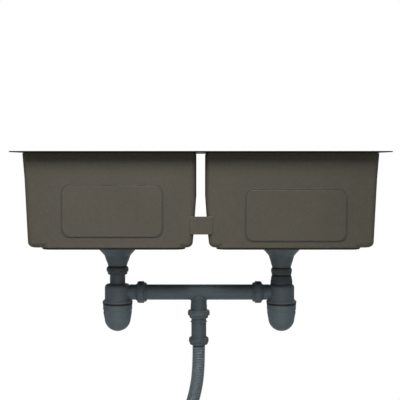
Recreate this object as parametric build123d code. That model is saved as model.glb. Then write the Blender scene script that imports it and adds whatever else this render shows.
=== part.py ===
from build123d import *
from math import cos, pi, radians, sin, tan
import os

# Double bowl kitchen sink with its waste kit.
# Millimetres, +Z up. X runs along the two bowls, and the photographed long side faces -Y.
# The origin is on the flat underside of the rim, in the middle of the strip between the bowls.

# ---------------------------------------------------------------- rim
RIM_WIDTH = 860.0
RIM_DEPTH = 460.0
RIM_THICKNESS = 2.4
RIM_CORNER_RADIUS = 14.0
RIM_EDGE_ROUND = 0.7
RIM_SIDE_LIP = 25.5  # rim's end to the bowl's steel
RIM_FRONT_LIP = 31.0  # rim's front or back edge to the bowl's steel

# ---------------------------------------------------------------- bowls
SHEET = 1.0  # steel of the bowls
COAT = 1.0  # sprayed sound coat
COAT_TOP = 3.0  # bare steel between the rim and the coat
BOWL_GAP = 25.0  # between the steel of the two bowls, under the rim
BOWL_DEPTH = 214.8  # rim's underside to the steel's underside
CORNER_RADIUS = 12.0  # the bowl's upright corners, outside
FLOOR_RADIUS = 17.0  # wall to floor, outside
FLOOR_ROUND_STEPS = 6
UPPER_WALL = 60.0  # height of the walls' more slanted upper part
UPPER_DRAFT = 4.1  # what the walls lean in over the upper part
LOWER_DRAFT = 6.1  # and over the rest of the depth
INNER_STRAIGHT = 110.0  # the wall beside the gap is upright this far down
INNER_DRAFT = 7.4  # what it leans in over the rest
FLOOR_FALL = 2.0  # the floor's fall to the drain

# ---------------------------------------------------------------- sound pads and strap
WALL_PAD = 2.4  # thickness of the pads on the walls
PAD_WIDTH = 229.6
PAD_HEIGHT = 119.0
PAD_RADIUS = 17.0
PAD_SOFT_EDGE = 1.0  # rounding of the coat over a pad's edge
LEFT_PAD_SHIFT = 6.9  # from the bowl's middle towards the gap
RIGHT_PAD_SHIFT = -8.1
LEFT_PAD_RISE = 21.3  # from the bowl's underside to the pad's low edge
RIGHT_PAD_RISE = 11.8
BASE_PAD = 5.6  # thickness of the pad under the floor
BASE_PAD_RADIUS = 22.0
BASE_PAD_OUTER_MARGIN = 16.3  # flat floor left free at the bowl's outer end
BASE_PAD_REACH = 4.2  # how far the pad passes the flat floor in front and at the back
STRAP_WIDTH = 57.0
STRAP_HEIGHT = 40.0
STRAP_RISE = 28.3  # from the bowls' underside to the strap's low edge
STRAP_THICKNESS = 2.0

# ---------------------------------------------------------------- drain seats and strainers
LEFT_DRAIN_SHIFT = 2.2  # from the bowl's middle towards the gap
RIGHT_DRAIN_SHIFT = 8.4
DRAIN_HOLE_RADIUS = 45.0
SEAT_DEPTH = 5.5  # recess below the flat part of the floor
SEAT_ROOM = 1.0  # between the strainer's rim and the recess
STRAINER_SHEET = 0.8
STRAINER_LAP = 12.0  # how far the strainer's rim passes the hole
SEAL_SHEET = 1.0
SEAL_INSET = 1.0  # rim's edge to the seal's edge
BASIN_ROOM = 2.6  # between the basin and the hole
BASIN_TAPER = 10.1  # what the basin narrows to its floor
BASIN_DEPTH = 23.5
BASIN_ROUND = 1.5
BASIN_HOLES = 8
BASIN_HOLE_RADIUS = 4.0
BASIN_HOLE_MARGIN = 12.3  # basin floor's edge to the middle of the holes
BODY_GASKET = 3.0
BODY_FLANGE = 6.0
BODY_BORE_ROOM = 1.0  # the body's mouth is this much wider than the hole
FUNNEL_WALL = 2.6
FUNNEL_SHOULDER = 4.9  # the funnel's top passes the hole by this
FUNNEL_NARROWS = 14.4  # hole radius less the radius at the kink
FUNNEL_KINK_DROP = 31.0  # drain seat to the kink
FUNNEL_KINK_ROUND = 6.0
LEFT_NECK_DROP = 58.5  # drain seat to the end of the cone
RIGHT_NECK_DROP = 61.9
NECK_LIP = 0.6  # the cone's end stands this much proud of the thread
BOSS_RADIUS = 6.0
BOSS_LENGTH = 15.0
BOSS_RIBS = 3
BOSS_INSET = 1.0
SCREW_RADIUS = 3.0
SCREW_HEAD_RADIUS = 7.0
SCREW_HEAD = 3.2
SCREW_LENGTH = 14.0
SCREW_SLOT_WIDTH = 1.4
SCREW_SLOT_DEPTH = 1.2

# ---------------------------------------------------------------- baskets and stoppers
BASKET_SHEET = 0.7
BASKET_ROOM = 2.0  # between the basket and the basin
BASKET_LAP = 2.6  # the basket's rim rests on the strainer's rim by this much
BASKET_TAPER = 7.4
BASKET_DEPTH = 12.0
BASKET_ROUND = 1.0
BASKET_HOLE_RADIUS = 2.2
BASKET_HOLE_SPACING = 7.0
BASKET_FIRST_RING = 13.0
BASKET_SLOTS = 24
BASKET_SLOT_WIDTH = 2.6
BASKET_SLOT_HEIGHT = 5.5
STOPPER_MARGIN = 2.8  # basin floor's edge to the stopper's edge
STOPPER_THICKNESS = 4.6
STOPPER_LIP = 1.0
STOPPER_SLANT = 2.0
STOPPER_RECESS_ROOM = 2.0  # round the screw's head
STEM_RADIUS = 3.0
STEM_FOOT = 3.0  # how much wider the stem's foot is, which the basket's hole lets past
STEM_FOOT_HEIGHT = 1.2
KNOB_RADIUS = 11.0
KNOB_RISE = 24.0  # stopper's top to the knob's underside
KNOB_BEVEL = 2.0
KNOB_DOME = 3.0

# ---------------------------------------------------------------- waste pipes, traps and nuts
SLIP = 0.3  # room round a part that turns or slides
SNUG = 0.05  # room round a part that is pushed in and stays
PIPE_OD = 38.0
PIPE_WALL = 2.4
THREAD_STEP = 3.4  # a threaded mouth passes its pipe by this
THREAD_WALL = 3.0
NUT_SHOULDER = 3.2
NUT_EDGE = 1.4
NUT_GROOVE = 0.4  # the nut's barrel lies this much below its grip ribs
NUT_RIB_WIDTH = 4.2
NUT_RIB_DEPTH = 2.4
NUT_MIN_WALL = 1.0
LEFT_TAIL_NUT_WALL = 3.9
RIGHT_TAIL_NUT_WALL = 2.6
TAIL_NUT_STEP = 2.5  # what the left nut's collar is smaller by
RIGHT_TAIL_NUT_STEP = 0.4
TAIL_NUT_PLAIN = 0.38  # share of a tail nut's length that is plain collar
TAIL_NUT_GRIPS = 10
TAIL_NUT_DROP = 79.5  # drain seat to the low end of the tail nuts
NECK_SEAL = 2.4
NECK_SEAL_STEP = 0.9
TAIL_SEAL = 2.4
TAIL_FLANGE = 2.4
FLANGE_ROOM = 0.6  # a pipe's flange is this much inside the thread
SEAL_ROOM = 0.4

INLET_GAP = 23.7  # tail nut's low end to the trap's top
TRAP_RADIUS = 31.7
TRAP_WALL = 2.6
TRAP_TOP_WALL = 3.2
TRAP_TOP_ROUND = 3.0
TRAP_HEIGHT = 37.5
SKIRT_FLARE = 5.7
SKIRT_HEIGHT = 10.2
SKIRT_RIM = 3.2
SKIRT_ROUND = 1.0
SKIRT_BEVEL = 1.5
TRAP_NECK_INSET = 0.3
TRAP_NECK = 13.8
SOCKET_DEPTH = 12.0
SOCKET_WALL = 1.6
SOCKET_LEDGE = 0.8
CROSS_ROOM = 2.0  # trap's top to the side outlet's top
DIP = 19.0  # how far the tail pipe dips below the trap's neck
OUTLET_REACH = 49.6  # trap's axis to the near end of its outlet nut
OUTLET_FLARE = 5.0
OUTLET_NUT_WALL = 4.5
OUTLET_NUT_STEP = 3.0
OUTLET_NUT_LENGTH = 22.4
OUTLET_NUT_PLAIN = 0.3
OUTLET_NUT_GRIPS = 8
COLLAR_LENGTH = 19.5
COLLAR_STRAIGHT = 6.0
COLLAR_TOP_STRAIGHT = 3.0
COLLAR_LOW_WALL = 4.2
COLLAR_TOP_WALL = 2.5
COLLAR_EDGE = 1.0

CUP_SEAL = 2.4
CUP_SEAL_INSET = 2.4
CUP_WALL = 2.6
CUP_RING_STEP = 4.0  # how much each part of the cup passes the trap's body
CUP_GRIP_STEP = 2.3
CUP_DOME_STEP = -0.4
CUP_RING = 14.4
CUP_GRIP = 17.6
CUP_GRIP_DEPTH = 0.8
CUP_GRIP_WIDTH = 7.0
CUP_GRIPS = 12
CUP_STEP = 2.4  # from the grips down to the dome's middle

# ---------------------------------------------------------------- tee, adapter and hose
TEE_X = -4.9
TEE_SPIGOT_STEP = 0.5  # how much the spigot passes the pipe at its top
TEE_SPIGOT_FLARE = 1.7
TEE_SPIGOT_LENGTH = 41.3  # from the cross pipe's axis
TEE_SPIGOT_STRAIGHT = 6.0
TEE_NUT_WALL = 4.3
TEE_NUT_STEP = 3.4
TEE_NUT_LENGTH = 22.2
TEE_NUT_GRIPS = 8
ADAPTER_RADIUS = 17.9
ADAPTER_WALL = 2.4
ADAPTER_LENGTH = 47.5  # the part that shows between the two nuts
ADAPTER_RING_STEP = 2.6
ADAPTER_RING_DROP = 6.9
ADAPTER_RING = 3.6
ADAPTER_RING_FLAT = 1.6
HOSE_OD = 29.0
HOSE_RIB = 1.6  # height of the ribs
HOSE_WALL = 1.5
HOSE_RIB_PITCH = 4.0
HOSE_RIB_SLOPE = 0.25  # share of the pitch that each slope of a rib takes
HOSE_RIB_TOP = 0.35  # share that its top takes
HOSE_ARC_SHARE = 0.45  # of the shorter run beside a turn of the hose's route
HOSE_COLLAR_STEP = 1.3
HOSE_COLLAR_FLANGE = 3.0
HOSE_COLLAR_NECK = 3.7  # shows below the hose nut
HOSE_THREAD_STEP = 3.8
HOSE_NUT_WALL = 4.0
HOSE_NUT_STEP = 1.4
HOSE_NUT_LENGTH = 18.8
HOSE_NUT_PLAIN = 0.3
HOSE_NUT_GRIPS = 8
CUFF_SLEEVE_WALL = 3.1
CUFF_SLEEVE = 16.0
CUFF_STEP = 2.4
CUFF_SPIGOT = 34.0
CUFF_WALL = 3.0
CUFF_BEVEL = 1.2

# The hose's route, from the hose collar's end to the cuff: a short way straight down, a lean to
# the left, and back to upright under its own weight.
HOSE_ROUTE = [
    (0.0, 0.0, 0.0),
    (0.0, 0.0, -61.7),
    (-9.9, 1.5, -123.9),
    (-30.3, 5.0, -186.7),
    (-55.8, 10.0, -249.8),
    (-79.7, 16.0, -315.6),
    (-97.1, 21.0, -385.5),
    (-106.8, 24.0, -454.8),
    (-110.3, 25.0, -520.7),
    (-110.3, 25.0, -582.7),
]

# ---------------------------------------------------------------- worked out from the sizes above
WALL_INNER_X = BOWL_GAP / 2
WALL_OUTER_X = RIM_WIDTH / 2 - RIM_SIDE_LIP
WALL_FRONT_Y = RIM_DEPTH / 2 - RIM_FRONT_LIP
BOWL_MIDDLE_X = (WALL_INNER_X + WALL_OUTER_X) / 2
STEEL_LOW = -BOWL_DEPTH
FLOOR_Z = STEEL_LOW + SHEET
BASE_PAD_LOW = STEEL_LOW - BASE_PAD

STRAINER_RIM_RADIUS = DRAIN_HOLE_RADIUS + STRAINER_LAP
SEAT_RADIUS = STRAINER_RIM_RADIUS + SEAT_ROOM
BODY_FLANGE_RADIUS = STRAINER_RIM_RADIUS - SEAL_INSET
BODY_BORE = DRAIN_HOLE_RADIUS + BODY_BORE_ROOM
BASIN_TOP_RADIUS = DRAIN_HOLE_RADIUS - BASIN_ROOM
BASIN_FLOOR_RADIUS = BASIN_TOP_RADIUS - BASIN_TAPER
BASKET_TOP_RADIUS = BASIN_TOP_RADIUS - BASKET_ROOM
BASKET_FLOOR_RADIUS = BASKET_TOP_RADIUS - BASKET_TAPER
STEM_FOOT_RADIUS = STEM_RADIUS + STEM_FOOT
SEAT_Z = FLOOR_Z - SEAT_DEPTH
SEAT_LOW = SEAT_Z - SHEET
STRAINER_LOW = SEAT_Z + SEAL_SHEET
STRAINER_TOP = STRAINER_LOW + STRAINER_SHEET
BASIN_FLOOR_Z = STRAINER_TOP - BASIN_DEPTH
BASIN_LOW = BASIN_FLOOR_Z - STRAINER_SHEET
BODY_TOP = SEAT_LOW - BODY_GASKET
BODY_FLANGE_LOW = BODY_TOP - BODY_FLANGE

PIPE_RADIUS = PIPE_OD / 2
PIPE_BORE = PIPE_RADIUS - PIPE_WALL
PIPE_HOLE = PIPE_RADIUS + SNUG
THREAD_RADIUS = PIPE_RADIUS + THREAD_STEP
NUT_BORE = THREAD_RADIUS + SLIP
FLANGE_RADIUS = THREAD_RADIUS - FLANGE_ROOM
TAIL_NUT_LOW = SEAT_LOW - TAIL_NUT_DROP
TAIL_FLANGE_LOW = TAIL_NUT_LOW + NUT_SHOULDER
TAIL_FLANGE_TOP = TAIL_FLANGE_LOW + TAIL_FLANGE
TAIL_MOUTH = TAIL_FLANGE_TOP + TAIL_SEAL
TRAP_TOP = TAIL_NUT_LOW - INLET_GAP
TRAP_INNER = TRAP_RADIUS - TRAP_WALL
SKIRT_TOP = TRAP_TOP - TRAP_HEIGHT
SKIRT_LOW = SKIRT_TOP - SKIRT_HEIGHT
SKIRT_RADIUS = TRAP_RADIUS + SKIRT_FLARE
TRAP_NECK_RADIUS = TRAP_RADIUS - TRAP_NECK_INSET
TRAP_NECK_LOW = SKIRT_LOW - TRAP_NECK
CROSS_Z = TRAP_TOP - CROSS_ROOM - PIPE_RADIUS
CUP_TOP = SKIRT_LOW - CUP_SEAL
CUP_RING_LOW = CUP_TOP - CUP_RING
CUP_GRIP_LOW = CUP_RING_LOW - CUP_GRIP
CUP_DOME_Z = CUP_GRIP_LOW - CUP_STEP
CUP_DOME_RADIUS = TRAP_RADIUS + CUP_DOME_STEP

TEE_SPIGOT_LOW = CROSS_Z - TEE_SPIGOT_LENGTH
TEE_NUT_TOP = TEE_SPIGOT_LOW - SLIP
TEE_NUT_LOW = TEE_NUT_TOP - TEE_NUT_LENGTH
ADAPTER_BORE = ADAPTER_RADIUS - ADAPTER_WALL
HOSE_NUT_TOP = TEE_NUT_LOW - ADAPTER_LENGTH
HOSE_NUT_LOW = HOSE_NUT_TOP - HOSE_NUT_LENGTH
HOSE_CREST = HOSE_OD / 2
HOSE_ROOT = HOSE_CREST - HOSE_RIB
HOSE_BORE = HOSE_ROOT - HOSE_WALL
HOSE_COLLAR_RADIUS = HOSE_CREST + HOSE_COLLAR_STEP
HOSE_THREAD = HOSE_COLLAR_RADIUS + HOSE_THREAD_STEP
HOSE_TOP_Z = HOSE_NUT_LOW - HOSE_COLLAR_NECK
CUFF_SLEEVE_RADIUS = HOSE_CREST + CUFF_SLEEVE_WALL

SIDES = {
    "left": {
        "sign": -1,
        "drain_x": LEFT_DRAIN_SHIFT - BOWL_MIDDLE_X,
        "pad_x": LEFT_PAD_SHIFT - BOWL_MIDDLE_X,
        "pad_low": STEEL_LOW + LEFT_PAD_RISE,
        "neck_z": SEAT_LOW - LEFT_NECK_DROP,
        "nut_wall": LEFT_TAIL_NUT_WALL,
        "nut_step": TAIL_NUT_STEP,
    },
    "right": {
        "sign": 1,
        "drain_x": BOWL_MIDDLE_X - RIGHT_DRAIN_SHIFT,
        "pad_x": BOWL_MIDDLE_X - RIGHT_PAD_SHIFT,
        "pad_low": STEEL_LOW + RIGHT_PAD_RISE,
        "neck_z": SEAT_LOW - RIGHT_NECK_DROP,
        "nut_wall": RIGHT_TAIL_NUT_WALL,
        "nut_step": RIGHT_TAIL_NUT_STEP,
    },
}


def save(name, shape):
    """Write one piece to its own file."""
    solids = shape.solids()
    whole = solids[0] if len(solids) == 1 else Compound(children=list(solids))
    export_step(whole, f"parts/{name}.step")


def lathe(points, x=0.0, y=0.0, rounds=()):
    """Turn a closed outline of (radius, z) points about an upright axis through (x, y).

    rounds lists (index of the point, radius) for the corners that are rounded.
    """
    face = make_face(Polyline(*points, close=True))
    for index, radius in rounds:
        near = Vector(*points[index])
        corner = face.vertices().sort_by(lambda v: (Vector(v.X, v.Y) - near).length)[0]
        face = fillet(corner, radius)
    return Pos(x, y, 0) * revolve(Plane.XZ * face, Axis.Z, 360)


def drum(radius, low, high, x=0.0, y=0.0):
    """A plain upright cylinder between two heights."""
    return Pos(x, y, (low + high) / 2) * Cylinder(radius, high - low)


def ring(outer, inner, low, high, x=0.0):
    """A flat ring about an upright axis."""
    return drum(outer, low, high, x) - drum(inner, low - 1, high + 1, x)


def along_x(shape, x, z, sign):
    """Lay a piece that was turned about +Z along X, its +Z pointing to sign * X."""
    return Pos(x, 0, z) * Rot(0, 90 * sign, 0) * shape


# ---------------------------------------------------------------- bowl shape
def wall_lean(z):
    """How far the drafted walls have leaned in at height z."""
    depth = -z
    if depth <= UPPER_WALL:
        return UPPER_DRAFT * depth / UPPER_WALL
    return UPPER_DRAFT + LOWER_DRAFT * (depth - UPPER_WALL) / (BOWL_DEPTH - UPPER_WALL)


def inner_lean(z):
    """The same for the wall beside the gap, which is upright at first."""
    depth = max(0.0, -z - INNER_STRAIGHT)
    return INNER_DRAFT * depth / (BOWL_DEPTH - INNER_STRAIGHT)


def bowl_section(sign, z, inward, inset):
    """A level slice of a bowl: inward is the distance inside the steel's outer face."""
    outer = WALL_OUTER_X - wall_lean(z) - inward - inset
    inner = WALL_INNER_X + inner_lean(z) + inward + inset
    front = WALL_FRONT_Y - wall_lean(z) - inward - inset
    outline = RectangleRounded(outer - inner, 2 * front, CORNER_RADIUS - inward)
    return Pos(sign * (outer + inner) / 2, 0, z) * outline


def bowl_form(sign, inward, top, floor):
    """A closed solid of the bowl's shape, inward from the steel's outer face."""
    radius = FLOOR_RADIUS - inward
    sections = [bowl_section(sign, z, inward, 0) for z in (top, -UPPER_WALL, -INNER_STRAIGHT)]
    for step in range(FLOOR_ROUND_STEPS + 1):
        angle = radians(90 * step / FLOOR_ROUND_STEPS)
        z = floor + radius * (1 - sin(angle))
        sections.append(bowl_section(sign, z, inward, radius * (1 - cos(angle))))
    return loft(sections, ruled=True)


def flat_floor(sign, inward, floor):
    """The box round the level part of the floor."""
    return bowl_section(sign, floor, inward, FLOOR_RADIUS - inward).bounding_box()


def floor_fall(sign, drain_x, inward, floor):
    """The shallow pyramid that gives the floor its fall to the drain."""
    low, high = flat_floor(sign, inward, floor).min, flat_floor(sign, inward, floor).max
    corners = [(low.X, low.Y), (high.X, low.Y), (high.X, high.Y), (low.X, high.Y)]
    outline = Pos(0, 0, floor) * make_face(Polyline(*corners, close=True))
    return loft([outline.face(), Vertex(drain_x, 0, floor - FLOOR_FALL)])


def steel_outside(side):
    """The outside shape of one bowl's steel, solid right through."""
    sign, x = side["sign"], side["drain_x"]
    form = bowl_form(sign, 0.0, RIM_THICKNESS, STEEL_LOW)
    form += floor_fall(sign, x, 0.0, STEEL_LOW)
    return form + drum(SEAT_RADIUS + SHEET, SEAT_LOW, STEEL_LOW + SHEET, x)


def steel_inside(side):
    """The room inside one bowl, with the recess for the strainer."""
    sign, x = side["sign"], side["drain_x"]
    form = bowl_form(sign, SHEET, RIM_THICKNESS, FLOOR_Z)
    form += floor_fall(sign, x, SHEET, FLOOR_Z)
    form += drum(SEAT_RADIUS, SEAT_Z, FLOOR_Z + SHEET, x)
    return form + drum(DRAIN_HOLE_RADIUS, SEAT_LOW - SHEET, SEAT_Z + SHEET, x)


def wall_slab(z_low, z_high, outward, thickness, x_low, x_high, face):
    """A plate on the front (face -1) or back (+1) wall, outward from the steel."""
    near = [WALL_FRONT_Y - wall_lean(z) + outward for z in (z_low, z_high)]
    outline = Polyline(
        (face * near[0], z_low),
        (face * near[1], z_high),
        (face * (near[1] + thickness), z_high),
        (face * (near[0] + thickness), z_low),
        close=True,
    )
    plate = extrude(Plane.YZ * make_face(outline), x_high - x_low)
    return Pos(x_low, 0, 0) * plate


def wall_pad(side, grow, thickness, face):
    """A rounded rectangular pad on a wall, grown by the coat where it is covered."""
    x, low = side["pad_x"], side["pad_low"]
    half, top = PAD_WIDTH / 2 + grow, low + PAD_HEIGHT
    slab = wall_slab(low - grow, top + grow, 0.0, thickness, x - half, x + half, face)
    outline = RectangleRounded(2 * half, PAD_HEIGHT + 2 * grow, PAD_RADIUS + grow)
    plug = Plane.XZ * (Pos(x, (top + low) / 2) * outline)
    return slab & extrude(plug, RIM_DEPTH / 2, both=True)


def base_pad(side, grow, low):
    """The pad under the floor, as a plain plate from inside the steel down to low."""
    sign = side["sign"]
    floor = flat_floor(sign, 0.0, STEEL_LOW)
    ends = sorted([abs(floor.min.X), abs(floor.max.X)])
    inner, outer = ends[0] - grow, ends[1] - BASE_PAD_OUTER_MARGIN + grow
    length = 2 * (floor.max.Y + BASE_PAD_REACH + grow)
    plate = RectangleRounded(outer - inner, length, BASE_PAD_RADIUS + grow)
    return Pos(sign * (inner + outer) / 2, 0, low) * extrude(plate, STEEL_LOW + SHEET - low)


def make_pads(side, outside):
    """Two wall pads and the base pad, which is open round the drain."""
    pads = [wall_pad(side, 0.0, WALL_PAD, face) for face in (-1, 1)]
    open_radius = SEAT_RADIUS + SHEET + COAT
    hole = drum(open_radius, BASE_PAD_LOW - SHEET, STEEL_LOW + 2 * SHEET, side["drain_x"])
    pads.append(base_pad(side, 0.0, BASE_PAD_LOW) - outside - hole)
    return pads


def make_coat(side, outside, pads):
    """The sprayed coat, which covers the walls, the floor and the pads."""
    coat = bowl_form(side["sign"], -COAT, -COAT_TOP, STEEL_LOW - COAT)
    for face in (-1, 1):
        bump = wall_pad(side, COAT, WALL_PAD + COAT, face)
        proud = bump.faces().sort_by(Axis.Y)[0 if face < 0 else -1]
        coat += fillet(proud.edges(), PAD_SOFT_EDGE)
    bump = base_pad(side, COAT, BASE_PAD_LOW - COAT)
    coat += fillet(bump.faces().sort_by(Axis.Z)[0].edges(), PAD_SOFT_EDGE)
    coat -= outside
    for pad in pads:
        coat -= pad
    return coat - drum(BODY_FLANGE_RADIUS + COAT, BASE_PAD_LOW - 2 * COAT, STEEL_LOW, side["drain_x"])


def make_bowl(name, side):
    """One bowl, its damping pads and the coat that covers both."""
    outside = steel_outside(side)
    pads = make_pads(side, outside)
    save(f"{name}_bowl", outside - steel_inside(side))
    save(f"{name}_sound_pads", Compound(children=[s for pad in pads for s in pad.solids()]))
    save(f"{name}_undercoat", make_coat(side, outside, pads))
    return outside


def make_rim(outsides):
    """The flat rim with an opening cut to each bowl."""
    plate = extrude(RectangleRounded(RIM_WIDTH, RIM_DEPTH, RIM_CORNER_RADIUS), RIM_THICKNESS)
    plate = fillet(plate.faces().sort_by(Axis.Z)[-1].edges(), RIM_EDGE_ROUND)
    for outside in outsides:
        plate -= outside
    save("rim_deck", plate)


def make_strap():
    """The short plate across the gap, on the photographed side."""
    low = STEEL_LOW + STRAP_RISE
    half = STRAP_WIDTH / 2
    save("bowl_tie_strap", wall_slab(low, low + STRAP_HEIGHT, COAT, STRAP_THICKNESS, -half, half, -1))


# ---------------------------------------------------------------- strainer
def make_strainer_rim(name, x):
    """The steel rim and basin that lie in the drain seat."""
    t = STRAINER_SHEET
    basin = lathe([
        (BASIN_TOP_RADIUS + t, STRAINER_LOW), (STRAINER_RIM_RADIUS, STRAINER_LOW),
        (STRAINER_RIM_RADIUS, STRAINER_TOP), (BASIN_TOP_RADIUS, STRAINER_TOP),
        (BASIN_FLOOR_RADIUS - t, BASIN_FLOOR_Z), (0, BASIN_FLOOR_Z),
        (0, BASIN_LOW), (BASIN_FLOOR_RADIUS, BASIN_LOW),
    ], x, rounds=((2, t / 2), (3, BASIN_ROUND), (4, BASIN_ROUND)))
    for hole in PolarLocations(BASIN_FLOOR_RADIUS - BASIN_HOLE_MARGIN, BASIN_HOLES):
        spot = hole.position
        basin -= drum(BASIN_HOLE_RADIUS, BASIN_LOW - t, BASIN_FLOOR_Z + t, x + spot.X, spot.Y)
    basin -= drum(SCREW_RADIUS + SLIP, BASIN_LOW - t, BASIN_FLOOR_Z + t, x)
    save(f"{name}_strainer_rim", basin)
    save(f"{name}_strainer_seal", ring(BODY_FLANGE_RADIUS, DRAIN_HOLE_RADIUS, SEAT_Z, STRAINER_LOW, x))


def make_strainer_body(name, side):
    """The plastic funnel under the bowl, with the boss that takes the screw."""
    x, neck_z, w = side["drain_x"], side["neck_z"], FUNNEL_WALL
    kink_z = SEAT_LOW - FUNNEL_KINK_DROP
    kink = DRAIN_HOLE_RADIUS - FUNNEL_NARROWS
    shoulder = DRAIN_HOLE_RADIUS + FUNNEL_SHOULDER
    bore = THREAD_RADIUS - THREAD_WALL
    body = lathe([
        (BODY_BORE, BODY_TOP), (BODY_FLANGE_RADIUS, BODY_TOP), (BODY_FLANGE_RADIUS, BODY_FLANGE_LOW),
        (shoulder, BODY_FLANGE_LOW), (kink, kink_z), (THREAD_RADIUS + NECK_LIP, neck_z),
        (THREAD_RADIUS, neck_z), (THREAD_RADIUS, TAIL_MOUTH), (bore, TAIL_MOUTH), (bore, neck_z + w),
        (kink - w, kink_z + w / 2), (BODY_BORE, BODY_FLANGE_LOW + w / 2),
    ], x, rounds=((1, NUT_GROOVE), (2, NUT_EDGE), (4, FUNNEL_KINK_ROUND)))
    boss_low = BASIN_LOW - BOSS_LENGTH
    spider = drum(BOSS_RADIUS, boss_low, BASIN_LOW, x)
    rib_low = boss_low + BOSS_INSET
    rib = Box(shoulder, w, BASIN_LOW - w - rib_low, align=(Align.MIN, Align.CENTER, Align.MIN))
    for turn in range(BOSS_RIBS):
        spider += Pos(x, 0, rib_low) * Rot(0, 0, 90 + 360 * turn / BOSS_RIBS) * rib
    envelope = lathe([
        (0, BODY_FLANGE_LOW), (shoulder - w / 2, BODY_FLANGE_LOW), (kink - w / 2, kink_z),
        (bore + w / 2, neck_z), (0, neck_z),
    ], x)
    body += spider & envelope
    body -= drum(SCREW_RADIUS + SNUG, boss_low - SHEET, BASIN_LOW + SHEET, x)
    save(f"{name}_strainer_body", body)
    save(f"{name}_body_gasket", ring(BODY_FLANGE_RADIUS, BODY_BORE, BODY_TOP, SEAT_LOW, x))


def make_screws():
    """The screw in each strainer that clamps the rim to the body."""
    top = BASIN_FLOOR_Z + SCREW_HEAD
    low = BASIN_FLOOR_Z - SCREW_LENGTH
    screw = lathe([
        (0, top), (SCREW_HEAD_RADIUS, top), (SCREW_HEAD_RADIUS, BASIN_FLOOR_Z),
        (SCREW_RADIUS, BASIN_FLOOR_Z), (SCREW_RADIUS, low), (0, low),
    ], rounds=((1, BASKET_ROUND),))
    screw -= Pos(0, 0, top) * Box(2 * SCREW_HEAD_RADIUS, SCREW_SLOT_WIDTH, 2 * SCREW_SLOT_DEPTH)
    placed = [Pos(side["drain_x"], 0, 0) * screw for side in SIDES.values()]
    save("strainer_screws", Compound(children=[s for each in placed for s in each.solids()]))


def make_basket(name, x):
    """The lift-out basket, with its round holes and its side slots."""
    t = BASKET_SHEET
    rim_low = STRAINER_TOP + SLIP
    rim_top = rim_low + t
    floor = rim_top - BASKET_DEPTH
    basket = lathe([
        (BASKET_TOP_RADIUS, rim_low), (BASIN_TOP_RADIUS + BASKET_LAP, rim_low),
        (BASIN_TOP_RADIUS + BASKET_LAP, rim_top), (BASKET_TOP_RADIUS - t, rim_top),
        (BASKET_FLOOR_RADIUS - t, floor), (0, floor), (0, floor - t), (BASKET_FLOOR_RADIUS, floor - t),
    ], x, rounds=((3, BASKET_ROUND), (4, BASKET_ROUND)))
    cutter = drum(STEM_FOOT_RADIUS + SLIP, floor - 2 * t, floor + t, x)
    radius = BASKET_FIRST_RING
    while radius + 2 * BASKET_HOLE_RADIUS < BASKET_FLOOR_RADIUS:
        for hole in PolarLocations(radius, int(2 * pi * radius / BASKET_HOLE_SPACING)):
            spot = hole.position
            cutter += drum(BASKET_HOLE_RADIUS, floor - 2 * t, floor + t, x + spot.X, spot.Y)
        radius += BASKET_HOLE_SPACING
    slot = Box(4 * BASKET_TAPER, BASKET_SLOT_WIDTH, BASKET_SLOT_HEIGHT)
    middle = (BASKET_TOP_RADIUS + BASKET_FLOOR_RADIUS) / 2
    for place in PolarLocations(middle, BASKET_SLOTS):
        cutter += Pos(x, 0, (rim_top + floor) / 2 - t) * place * slot
    save(f"{name}_basket", basket - cutter)


def make_stopper(name, x):
    """The rubber stopper under the basket, and the knob whose stem passes through it."""
    low = BASIN_FLOOR_Z + SLIP
    top = low + STOPPER_THICKNESS
    radius = BASIN_FLOOR_RADIUS - STOPPER_MARGIN
    recess = SCREW_HEAD_RADIUS + STOPPER_RECESS_ROOM
    recess_top = low + SCREW_HEAD + SLIP
    rubber = lathe([
        (recess, low), (radius - STOPPER_LIP, low), (radius, low + STOPPER_LIP),
        (radius - STOPPER_SLANT, top), (0, top), (0, recess_top), (recess, recess_top),
    ], x)
    save(f"{name}_stopper", rubber)
    knob_low = top + KNOB_RISE
    rim_low, rim_top = knob_low + KNOB_BEVEL, knob_low + 2 * KNOB_BEVEL
    knob_top = rim_top + KNOB_DOME
    knob = lathe([
        (0, top), (STEM_FOOT_RADIUS, top), (STEM_FOOT_RADIUS, top + STEM_FOOT_HEIGHT),
        (STEM_RADIUS, top + STEM_FOOT_HEIGHT),
        (STEM_RADIUS, knob_low), (KNOB_RADIUS - KNOB_BEVEL, knob_low), (KNOB_RADIUS, rim_low),
        (KNOB_RADIUS, rim_top), (KNOB_RADIUS - KNOB_DOME, knob_top - KNOB_BEVEL / 4), (0, knob_top),
    ], x, rounds=((5, STEM_FOOT_HEIGHT), (7, KNOB_BEVEL / 2), (8, KNOB_BEVEL)))
    save(f"{name}_stopper_knob", knob)


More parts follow.
